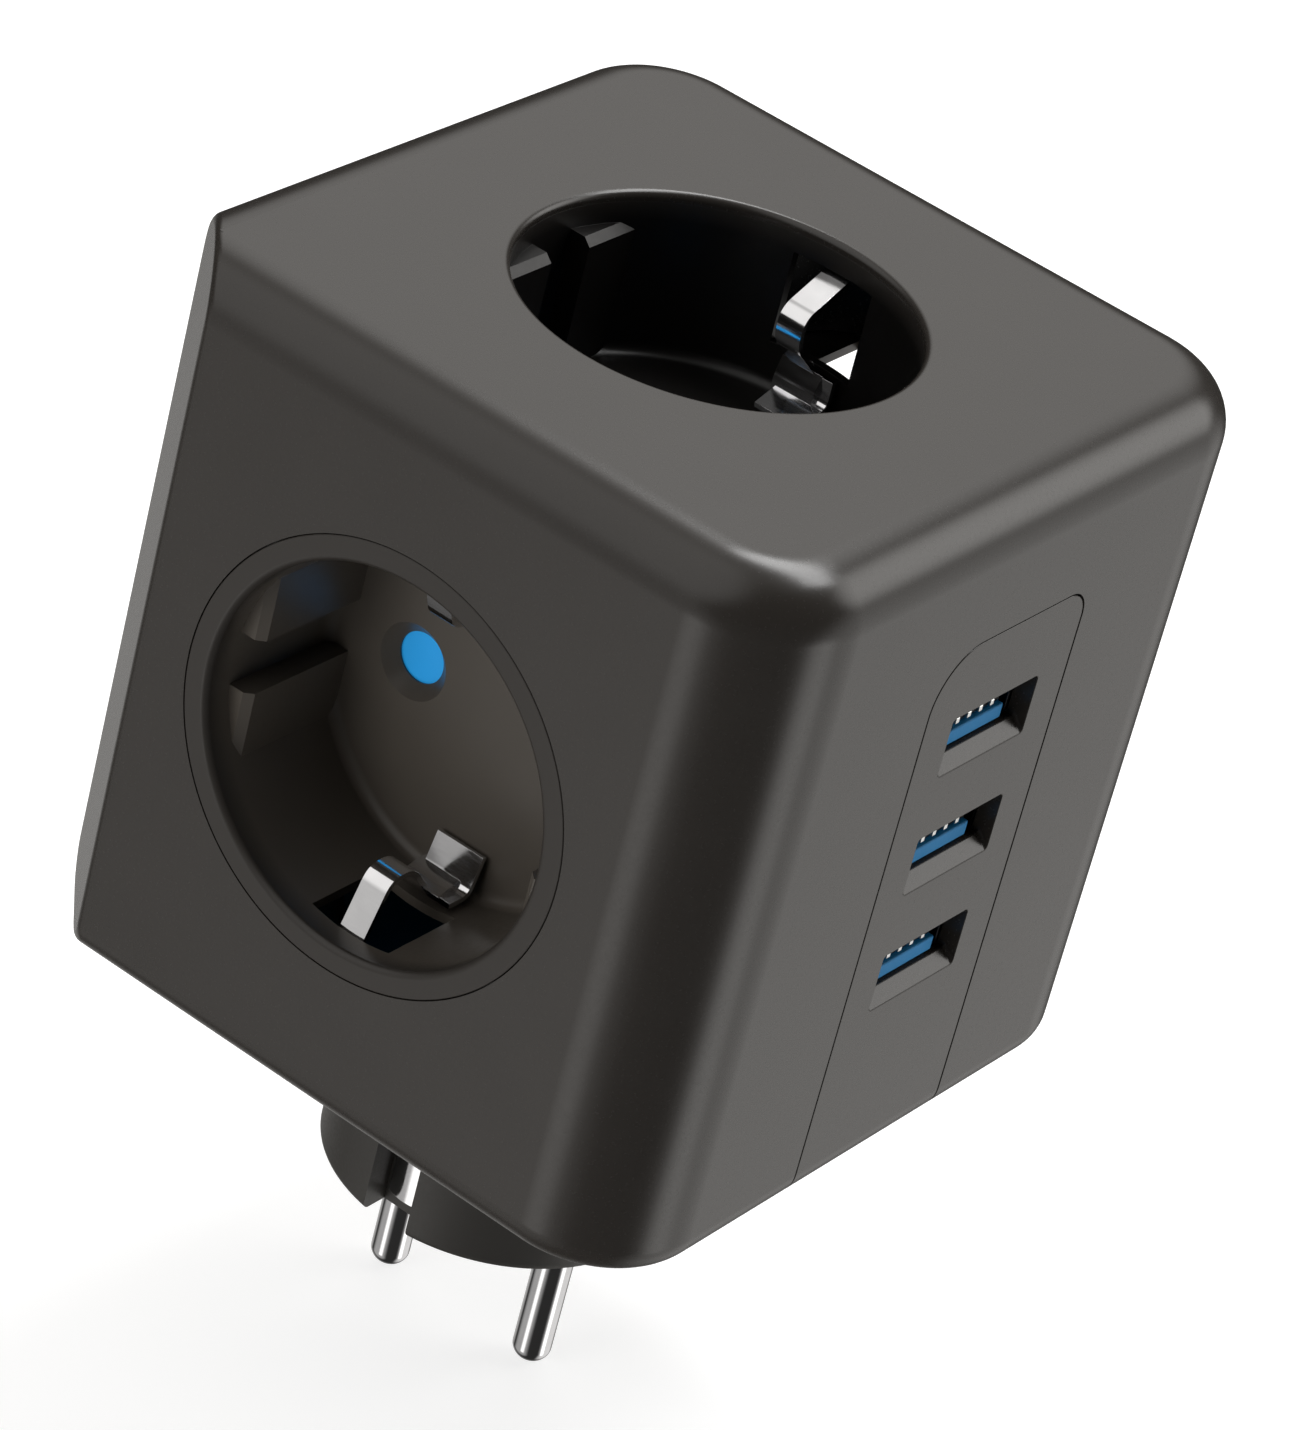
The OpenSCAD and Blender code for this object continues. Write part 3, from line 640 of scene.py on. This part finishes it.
def outer_plan(inset, steps=24):
    """The casing's outline before its corner is cut off."""
    corners = [
        (HALF_X - CORNER_R, CORNER_R - HALF_Y, CORNER_R),
        (HALF_X - CORNER_R, HALF_Y - CORNER_R, CORNER_R),
        (CORNER_R - HALF_X, HALF_Y - CORNER_R, CORNER_R),
        (TOP_R - HALF_X, TOP_R - HALF_Y, TOP_R),
    ]
    points = []
    for i, (x, y, r) in enumerate(corners):
        points += bow((x, y), r - inset, 90 * i - 90, 90 * i, steps)
    return points


def rounded_cube():
    """The cube with rounded upright, top and bottom edges, before its corner is cut off."""
    steps = 16
    angles = [pi / 2 * i / steps for i in range(steps + 1)]
    low = [(BOTTOM_R * (1 - sin(a)), FOOT_Z + BOTTOM_R * (1 - cos(a))) for a in angles]
    high = [(TOP_R * (1 - cos(a)), TOP_Z - TOP_R + TOP_R * sin(a)) for a in angles]
    return loft([[(x, y, z) for x, y in outer_plan(inset)] for inset, z in low + high])


def corner_cut():
    """What is cut off the upright corner between the front and the left side."""
    chunk = block((-4 * HALF_X, -2 * HALF_Y, 0), (-CHAMFER_D, 2 * HALF_Y, TOP_Z + 1))
    return moved(chunk, turn(CHAMFER_TURN, "Z"))


def ring_seat():
    """Hole for a socket whose ring is flush with the face."""
    return lathe(
        [
            (0, -WALL - 1),
            (CUP_R + SLACK, -WALL - 1),
            (CUP_R + SLACK, -RING_T),
            (RING_R + SEAM, -RING_T),
            (RING_R + SEAM, 1),
            (0, 1),
        ]
    )


def round_mouth():
    """Hole for the top socket, with a rounded lip."""
    lip = bow((RECESS_R + LIP_R, -LIP_R), LIP_R, 180, 90)
    wide = RING_R + SEAM
    return lathe(
        [
            (0, -WALL - 1),
            (wide, -WALL - 1),
            (wide, -TOP_LIP),
            (RECESS_R, -TOP_LIP),
            *lip,
            (RECESS_R + LIP_R, 1),
            (0, 1),
        ]
    )


def panel_slab(grow, depth):
    """The USB panel's outline as a slab, from in front of the face inwards."""
    left, right = PANEL_Y - PANEL_W / 2 - grow, PANEL_Y + PANEL_W / 2 + grow
    high = PANEL_TOP + grow
    front, back = PANEL_R_FRONT + grow, PANEL_R_BACK + grow
    low = FOOT_Z - MID_Z - 1
    outline = [
        (left, low),
        (right, low),
        *bow((right - back, high - back), back, 0, 90, 12),
        *bow((left + front, high - front), front, 90, 180, 16),
    ]
    return moved(
        prism(outline, -depth, 1), Matrix.Translation((HALF_X, 0, MID_Z)) @ turn(90, "Z") @ turn(90, "X")
    )


# ---- casing ----
def soften_cut(shell):
    """Breaks the long edges that the corner cut leaves."""
    mesh = bmesh.new()
    mesh.from_mesh(shell.data)
    tidy(mesh)
    away = Vector((-cos(radians(CHAMFER_TURN)), -sin(radians(CHAMFER_TURN)), 0))
    edges = []
    for edge in mesh.edges:
        on_cut = [face for face in edge.link_faces if face.normal.dot(away) > 0.999]
        if len(on_cut) == 1:
            edges.append(edge)
    bmesh.ops.bevel(mesh, geom=edges, offset=0.7 * MM, segments=4, affect="EDGES", profile=0.5)
    mesh.to_mesh(shell.data)
    mesh.free()


def cube_shell():
    shell = raw_object("cube_casing", rounded_cube())
    carve(shell, "DIFFERENCE", corner_cut())
    soften_cut(shell)
    posts = []
    for x, y, z in SCREW_PLACES:
        post = lathe([(0, 0), (POST_R, 0), (POST_R, POST_H), (0, POST_H)], SMALL)
        posts.append(moved(post, Matrix.Translation((x, y, z + COVER_T))))
    carve(
        shell,
        "DIFFERENCE",
        prism(plan(WALL), FOOT_Z + BOTTOM_R, TOP_Z - WALL),
        prism(plan(COVER_RIM), FOOT_Z - 1, FOOT_Z + COVER_T),
        prism(plan(COVER_RIM + LEDGE_W), FOOT_Z, FOOT_Z + COVER_T + BOTTOM_R),
        *[moved(ring_seat(), SOCKETS[place]) for place in ("front", "back", "left")],
        moved(round_mouth(), SOCKETS["top"]),
        panel_slab(2 * SEAM, WALL + 1),
    )
    carve(shell, "UNION", *posts)
    finish(shell, "adapter", "casing", ["cube_shell"], edge=0.14)


def usb_panel():
    panel = raw_object("usb_port_panel", rounded_cube())
    carve(panel, "INTERSECT", panel_slab(0, WALL))
    carve(panel, "DIFFERENCE", *[moved(port_mouth(), port) for port in PORTS.values()])
    finish(panel, "adapter", "usb_panel", ["usb_panel"], edge=0.12)


def port_mouth():
    """Hole for a USB plug: its top and bottom slope inwards behind the face."""
    r = 0.45

    def ring(low, high, z):
        w = PORT_W / 2
        points = (
            bow((w - r, low + r), r, 270, 360, 5)
            + bow((w - r, high - r), r, 0, 90, 5)
            + bow((-w + r, high - r), r, 90, 180, 5)
            + bow((-w + r, low + r), r, 180, 270, 5)
        )
        return [(x, y, z) for x, y in points]

    low, high = -PORT_H / 2 + PORT_BEVEL, PORT_H / 2 - PORT_BEVEL / 2
    half = PORT_H / 2
    return loft(
        [
            ring(low, high, -WALL - 1),
            ring(low, high, -PORT_BEVEL),
            ring(-half, half, 0),
            ring(-half, half, 1),
        ]
    )


def base_cover():
    cover = raw_object("base_plate", prism(plan(COVER_RIM + SEAM), FOOT_Z, FOOT_Z + COVER_T))
    sunk = 1.2
    above = COVER_T + 1
    head, shank, neck = SCREW_HEAD_R + SLACK, SCREW_R + SLACK, PLUG_R + SLACK
    opening = lathe([(0, -1), (neck, -1), (neck, above), (0, above)])
    cuts = [moved(opening, Matrix.Translation((0, 0, FOOT_Z)))]
    for place in SCREW_PLACES:
        hole = lathe([(0, -1), (head, -1), (head, sunk), (shank, sunk), (shank, above), (0, above)], SMALL)
        cuts.append(moved(hole, Matrix.Translation(place)))
    carve(cover, "DIFFERENCE", *cuts)
    finish(cover, "adapter", "dark_casing", ["base_cover"], edge=0.2)


# ---- plug ----
def plug_body():
    height = PLUG_HIGH.z
    flange = height - 2
    edge = 1
    body = raw_object(
        "plug_body",
        lathe(
            [
                (0, 0),
                *bow((PLUG_R - edge, edge), edge, 270, 360),
                (PLUG_R, flange),
                (FLANGE_R, flange),
                (FLANGE_R, height),
                (0, height),
            ]
        ),
    )
    cuts = []
    for angle in (0, 180):
        shapes = [
            block((-NOTCH_W / 2, NOTCH_FLOOR, -1), (NOTCH_W / 2, 2 * PLUG_R, FOOT_Z)),
            block((PLUG_FLAT, -2 * PLUG_R, -1), (2 * PLUG_R, SLACK - GROOVE_HALF, FOOT_Z - 4)),
            block((PLUG_FLAT, GROOVE_HALF - SLACK, -1), (2 * PLUG_R, 2 * PLUG_R, FOOT_Z - 4)),
            moved(
                lathe([(0, -1), (SHANK_R, -1), (SHANK_R, height + 1), (0, height + 1)], SMALL),
                Matrix.Translation((PIN_X, 0, 0)),
            ),
        ]
        cuts += [moved(shape, turn(angle, "Z")) for shape in shapes]
    carve(body, "DIFFERENCE", *cuts)
    finish(body, "adapter", "dark_casing", ["plug_base"], edge=0.35, segments=3)


def plug_pins():
    """Round pins with domed ends and a shoulder inside the plug body."""
    dome = 1.7
    steps = 14
    angles = [pi / 2 * (1 - i / steps) for i in range(steps + 1)]
    tip = [(PIN_R * cos(a), PIN_LOW.z + dome * (1 - sin(a))) for a in angles]
    for side, node in ((-1, "plug_pin_live"), (1, "plug_pin_neutral")):
        drawing = lathe([*tip, (PIN_R, 0), (SHANK_R, 0), (SHANK_R, PIN_HIGH.z), (0, PIN_HIGH.z)], PIN_SIDES)
        pin = raw_object(node + "_turned", moved(drawing, Matrix.Translation((side * PIN_X, 0, 0))))
        finish(pin, "adapter", "pins", [node], edge=0)


def plug_strap():
    """The plug's earth contact: a crowned blade in each notch, joined above the plug body."""
    low, high = span("plug_earth_strap")
    half, thickness, crown = high.x, 0.8, 0.55
    radius = (half**2 + crown**2) / (2 * crown)
    spread = degrees(acos(1 - crown / radius))
    arc = bow((0, high.y - radius), radius, 90 - spread, 90 + spread, 24)
    inside = high.y - thickness
    blade = [(-half, inside), (half, inside), *arc]
    strap = raw_object("plug_earth_blades", prism(blade, low.z, high.z))
    carve(
        strap,
        "UNION",
        moved(prism(blade, low.z, high.z), turn(180, "Z")),
        block((-half, -inside, high.z - thickness), (half, inside, high.z)),
    )
    finish(strap, "adapter", "earth_metal", ["plug_earth_strap"], edge=0.08)


# ---- sheet metal ----
def bent_strip(points, thickness, width, bend):
    """A strip of sheet along points [across, z] with rounded bends, its width centred along X."""
    line = [Vector(points[0])]
    for before, here, after in zip(points, points[1:], points[2:]):
        here = Vector(here)
        to = Vector(before) - here
        fro = Vector(after) - here
        reach = min(bend, to.length * 0.45, fro.length * 0.45)
        start = here + to.normalized() * reach
        stop = here + fro.normalized() * reach
        line += [start.lerp(here, t).lerp(here.lerp(stop, t), t) for t in (i / 8 for i in range(9))]
    line.append(Vector(points[-1]))
    rings = []
    for i, p in enumerate(line):
        along = (line[min(i + 1, len(line) - 1)] - line[max(i - 1, 0)]).normalized()
        side = Vector((-along.y, along.x)) * thickness / 2
        a, b = p + side, p - side
        rings.append([(-width / 2, *a), (width / 2, *a), (width / 2, *b), (-width / 2, *b)])
    return loft(rings)


def earth_clips(place, tail_side, back):
    """Two sprung clips, joined behind the socket by their tails."""
    reach = CLIP_REACH + CLIP_T / 2
    heel = (RECESS_R - 1.3, -SLOT_TO)
    drawings = []
    for side in (1, -1):
        arch = [(RECESS_R + 0.5, -SLOT_FROM - 0.6), (reach, -6), (reach, -9), heel]
        tab = [heel, (RECESS_R - 1.2, -RECESS_DEPTH + 1.8), (CLIP_REACH + CLIP_T, -RECESS_DEPTH + 0.6)]
        foot = [heel, (TAIL_R, -SLOT_TO - 2), (TAIL_R, -FLOOR_BACK + 0.6)]
        # points, width, radius of the bends and place along the socket's X
        strips = [(arch, CLIP_W, 2.2, 0), (tab, TAB_W, 1.3, TAB_X), (foot, TAB_W - 0.8, 1, 0)]
        for points, width, bend, shift in strips:
            strip = bent_strip([(side * p[0], p[1]) for p in points], CLIP_T, width, bend)
            drawings.append(moved(strip, Matrix.Translation((shift, 0, 0))))
    top = 0.8 - FLOOR_BACK
    line = [(TAIL_R, top), (TAIL_R, -back), (-TAIL_R, -back), (-TAIL_R, top)]
    strap = bent_strip(line, CLIP_T, TAIL_W, 0.8)
    drawings.append(moved(strap, Matrix.Translation((tail_side * TAIL_X, 0, 0))))
    clips = raw_object(f"{place}_earth_springs", moved(drawings[0], SOCKETS[place]))
    carve(clips, "UNION", *[moved(drawing, SOCKETS[place]) for drawing in drawings[1:]])
    finish(clips, "adapter", "earth_metal", [f"{place}_earth_clips"], edge=0.08)


# ---- sockets ----
def guide(side, half):
    """One of the four flat guides inside a recess, beside a groove."""
    r = RECESS_R + 0.4
    reach = degrees(acos(GUIDE_X / r))
    base = degrees(acos(sqrt(r * r - GROOVE_HALF**2) / r))
    outline = [(GUIDE_X, GROOVE_HALF), *bow((0, 0), r, base, reach, 10)]
    inner = GUIDE_X + GUIDE_BEVEL
    lean = [(inner, GROOVE_HALF), *[(max(x, inner), y) for x, y in outline[1:]]]
    drawing = loft([
        [(x, y, -RECESS_DEPTH - 0.5) for x, y in outline],
        [(x, y, -GUIDE_DEPTH - GUIDE_BEVEL) for x, y in outline],
        [(x, y, -GUIDE_DEPTH) for x, y in lean],
    ])
    return moved(drawing, Matrix.Diagonal((side, half, 1, 1)))


def socket_cup(place):
    behind = place == "top"
    fillet = 1.2
    start = TOP_LIP if behind else 0
    floor = [(0, -RECESS_DEPTH), *bow((RECESS_R - fillet, -RECESS_DEPTH + fillet), fillet, 270, 360, 5)]
    if behind:
        rim = [(RECESS_R, -start), (RING_R, -start)]
    else:
        edge = 0.12
        lip = bow((RECESS_R + LIP_R, -LIP_R), LIP_R, 180, 90)
        rim = [*lip, *bow((RING_R - edge, -edge), edge, 90, 0, 4)]
    outside = [
        (RING_R, -start - RING_T),
        (CUP_R, -start - RING_T),
        (CUP_R, -RECESS_DEPTH),
        (CUP_R - FLOOR_T, -FLOOR_BACK),
        (PIVOT_R, -FLOOR_BACK),
        (PIVOT_R, -CARRIER_BACK),
        (0, -CARRIER_BACK),
    ]
    there = SOCKETS[place]
    cup = raw_object(f"{place}_socket_cup", moved(lathe([*floor, *rim, *outside]), there))
    carve(cup, "UNION", *[moved(guide(side, half), there) for side in (-1, 1) for half in (-1, 1)])
    cuts = []
    for side in (-1, 1):
        low, land, high = -FLOOR_BACK - 1, -FLOOR_BACK + 0.2, -RECESS_DEPTH + 0.1
        wide = PIN_HOLE_R + high - land
        funnel = lathe([(0, low), (PIN_HOLE_R, low), (PIN_HOLE_R, land), (wide, high), (0, high)], SMALL)
        cuts.append(moved(funnel, Matrix.Translation((side * PIN_X, 0, 0))))
        wall = side * RECESS_R
        cuts.append(block((-SLOT_W / 2, wall - 1.5, -SLOT_TO), (SLOT_W / 2, wall + 1.5, -SLOT_FROM)))
        tail = side * TAIL_R
        cuts.append(block((-TAB_W / 2, tail - 0.6, low), (TAB_W / 2, tail + 0.6, high)))
    carve(cup, "DIFFERENCE", *[moved(cut, there) for cut in cuts])
    # the top cup takes the near-black painted shade; the side cups take the paler painted light
    look = "top_cup_painted_shade" if behind else "insert"
    finish(cup, "adapter", "insert", [f"{place}_socket_insert"], edge=0.12, look=look)


def shutter(place):
    """A disc with two holes that turn under the pin holes."""
    back = -SHUTTER_FRONT - SHUTTER_T
    drawing = lathe([(0, back), (SHUTTER_R, back), (SHUTTER_R, -SHUTTER_FRONT), (0, -SHUTTER_FRONT)])
    disc = raw_object(f"{place}_shutter_disc", moved(drawing, SOCKETS[place]))
    low, high = back - 1, -SHUTTER_FRONT + 1
    pivot = PIVOT_R + 0.05
    holes = [lathe([(0, low), (pivot, low), (pivot, high), (0, high)], SMALL)]
    for angle in (0, 180):
        hole = lathe([(0, low), (SHUTTER_HOLE_R, low), (SHUTTER_HOLE_R, high), (0, high)], SMALL)
        holes.append(moved(hole, turn(angle - SHUTTER_TURN, "Z") @ Matrix.Translation((PIN_X, 0, 0))))
    carve(disc, "DIFFERENCE", *[moved(hole, SOCKETS[place]) for hole in holes])
    finish(disc, f"{place}_shutter", "shutter", [f"{place}_shutter"], edge=0.1)


# ---- refined copies of CAD pieces ----
def refined(node, slot, edge):
    """A copy of a CAD node with whole faces, broken edges and even shading."""
    mesh = bmesh.new()
    mesh.from_mesh(frame["nodes"][node].data)
    bmesh.ops.remove_doubles(mesh, verts=mesh.verts, dist=2e-6)
    bmesh.ops.dissolve_limit(mesh, angle_limit=radians(0.5), verts=mesh.verts, edges=mesh.edges)
    mesh.transform(Matrix.Scale(1 / MM, 4))
    piece = raw_object(node + "_finished", mesh)
    bodies = frame["record"]["behaviour"]["bodies"]
    body = next(body for body, nodes in bodies.items() if node in nodes)
    finish(piece, body, slot, [node], edge=edge)


# ---- what repeats, by Geometry Nodes ----
def new_tree(name, sizes):
    """An empty node tree with a mesh output and named size inputs."""
    tree = bpy.data.node_groups.new(name, "GeometryNodeTree")
    tree.interface.new_socket("Geometry", in_out="INPUT", socket_type="NodeSocketGeometry")
    tree.interface.new_socket("Geometry", in_out="OUTPUT", socket_type="NodeSocketGeometry")
    for size, value in sizes.items():
        kind = "NodeSocketInt" if isinstance(value, int) else "NodeSocketFloat"
        tree.interface.new_socket(size, in_out="INPUT", socket_type=kind).default_value = value
    source = tree.nodes.new("NodeGroupInput")
    return tree, source.outputs


def close_tree(tree, geometry, slot):
    """Ends a tree in real geometry with its material set."""
    real = add(tree, "GeometryNodeRealizeInstances", {"Geometry": geometry})
    mesh = real.outputs["Geometry"]
    painted = add(tree, "GeometryNodeSetMaterial", {"Geometry": mesh, "Material": FINISHES[slot]})
    end = tree.nodes.new("NodeGroupOutput")
    tree.links.new(painted.outputs["Geometry"], end.inputs["Geometry"])


def grown(name, tree, sizes, points=()):
    """A piece grown by a tree from points, in millimetres, as a plain mesh in metres."""
    data = bpy.data.meshes.new(name)
    data.from_pydata([Vector(p) for p in points], [], [])
    piece = bpy.data.objects.new(name, data)
    bpy.context.scene.collection.objects.link(piece)
    grow = piece.modifiers.new("grow", "NODES")
    grow.node_group = tree
    for item in tree.interface.items_tree:
        if item.in_out == "INPUT" and item.name in sizes:
            grow[item.identifier] = sizes[item.name]
    return bake(piece)


def coil_tree():
    """A tree that sweeps a round wire along a spiral."""
    tree, size = new_tree("coil_spring", COIL)
    spiral = add(
        tree,
        "GeometryNodeCurveSpiral",
        {
            "Resolution": 48,
            "Rotations": size["Turns"],
            "Start Radius": size["Radius"],
            "End Radius": size["Radius"],
            "Height": size["Rise"],
        },
    )
    wire = add(tree, "GeometryNodeCurvePrimitiveCircle", {"Resolution": 14, "Radius": size["Wire"]})
    skin = add(
        tree,
        "GeometryNodeCurveToMesh",
        {"Curve": spiral.outputs["Curve"], "Profile Curve": wire.outputs["Curve"], "Fill Caps": True},
    )
    smooth = add(tree, "GeometryNodeSetShadeSmooth", {"Geometry": skin.outputs["Mesh"]})
    close_tree(tree, smooth.outputs["Geometry"], "spring_steel")
    return tree


def copies_tree(name, thing, slot):
    """A tree that puts a copy of thing on every point."""
    tree, size = new_tree(name, {"Scale": 1.0})
    info = add(tree, "GeometryNodeObjectInfo", {"Object": thing})
    placed = add(
        tree,
        "GeometryNodeInstanceOnPoints",
        {"Points": size["Geometry"], "Instance": info.outputs["Geometry"], "Scale": size["Scale"]},
    )
    close_tree(tree, placed.outputs["Instances"], slot)
    return tree


def hand_over(piece, matrix, body, node):
    """Puts a grown piece in its place, in metres, and gives it to its body."""
    piece.data.transform(Matrix.Scale(MM, 4) @ matrix)
    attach(piece, body)
    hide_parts(node)


def springs():
    tree = coil_tree()
    start = Matrix.Translation((0, 0, -CARRIER_FRONT - 0.5 - COIL["Rise"]))
    for place, there in SOCKETS.items():
        spring = grown(f"{place}_return_spring", tree, COIL)
        hand_over(spring, there @ start, f"{place}_shutter", f"{place}_shutter_spring")


def port_contacts():
    """Four bright contacts in a row on each tongue."""
    thing = raw_object("contact", block((-CONTACT_W / 2, 0, 0), (CONTACT_W / 2, CONTACT_W, CONTACT_T)))
    thing.data.transform(Matrix.Scale(1 / MM, 4))
    soft = thing.modifiers.new("edges", "BEVEL")
    soft.width = 0.12
    soft.segments = 3
    bake(thing)
    tree = copies_tree("contact_row", thing, "port_contacts")
    high = TONGUE_Z + TONGUE_T / 2 + CONTACT_LIFT
    places = [(CONTACT_PITCH * (i - 1.5), high, -TONGUE_FRONT - CONTACT_BACK) for i in range(4)]
    for level, port in PORTS.items():
        row = grown(f"usb_contact_row_{level}", tree, {"Scale": 1.0}, places)
        hand_over(row, port, "adapter", f"usb_contacts_{level}")
    bpy.data.objects.remove(thing)


def screws():
    """Pan-head screws with a cross, sunk just under the cover's face."""
    sunk, head, edge = 0.1, 1.1, 0.3
    length = COVER_T + POST_H - 2
    thing = raw_object(
        "screw",
        lathe(
            [
                (0, sunk),
                (SCREW_HEAD_R - edge, sunk),
                *bow((SCREW_HEAD_R - edge, sunk + edge), edge, 270, 360, 4),
                (SCREW_HEAD_R, sunk + head),
                (SCREW_R, sunk + head),
                (SCREW_R, length),
                (0, length),
            ],
            48,
        ),
    )
    arm, half, deep = 1.3, 0.3, 0.6
    cross = [block((-arm, -half, -1), (arm, half, deep)), block((-half, -arm, -1), (half, arm, deep))]
    carve(thing, "DIFFERENCE", *cross)
    soft = thing.modifiers.new("edges", "BEVEL")
    soft.width = 0.06 * MM
    soft.limit_method = "ANGLE"
    bake(thing)
    thing.data.shade_smooth()
    thing.data.set_sharp_from_angle(angle=radians(35))
    thing.data.transform(Matrix.Scale(1 / MM, 4))
    tree = copies_tree("screw_set", thing, "screw")
    group = grown("cover_screw_set", tree, {"Scale": 1.0}, SCREW_PLACES)
    hand_over(group, Matrix.Identity(4), "adapter", "cover_screws")
    bpy.data.objects.remove(thing)


# ---- the object ----
FINISHES = make_materials()
FINISHES["usb_panel"] = FINISHES["casing"]
place_camera()
light_the_studio()
make_floor(PIN_LOW.z * MM)

cube_shell()
usb_panel()
base_cover()
plug_body()
plug_pins()
plug_strap()
for place in SOCKETS:
    socket_cup(place)
    shutter(place)
    back = LEFT_CROSS_BACK if place == "left" else CROSS_BACK
    earth_clips(place, -1 if place in ("front", "left") else 1, back)
springs()
port_contacts()
screws()

SOFTENED = {
    "live_busbar": ("busbar", 0.08),
    "neutral_busbar": ("busbar", 0.08),
    "left_neutral_link": ("busbar", 0.08),
    "earth_busbar": ("busbar", 0.08),
    "usb_board": ("board", 0.1),
    "usb_transformer": ("winding", 0.3),
    "usb_capacitors": ("capacitor", 0.3),
    "usb_live_lead": ("live_lead", 0),
    "usb_neutral_lead": ("neutral_lead", 0),
}
for place in SOCKETS:
    SOFTENED[f"{place}_contact_carrier"] = ("carrier", 0.15)
for level in PORTS:
    SOFTENED[f"usb_shell_{level}"] = ("port_shell", 0.08)
    SOFTENED[f"usb_tongue_{level}"] = ("tongue", 0.15)
    SOFTENED[f"usb_block_{level}"] = ("port_block", 0.15)
for node, (slot, edge) in SOFTENED.items():
    refined(node, slot, edge)
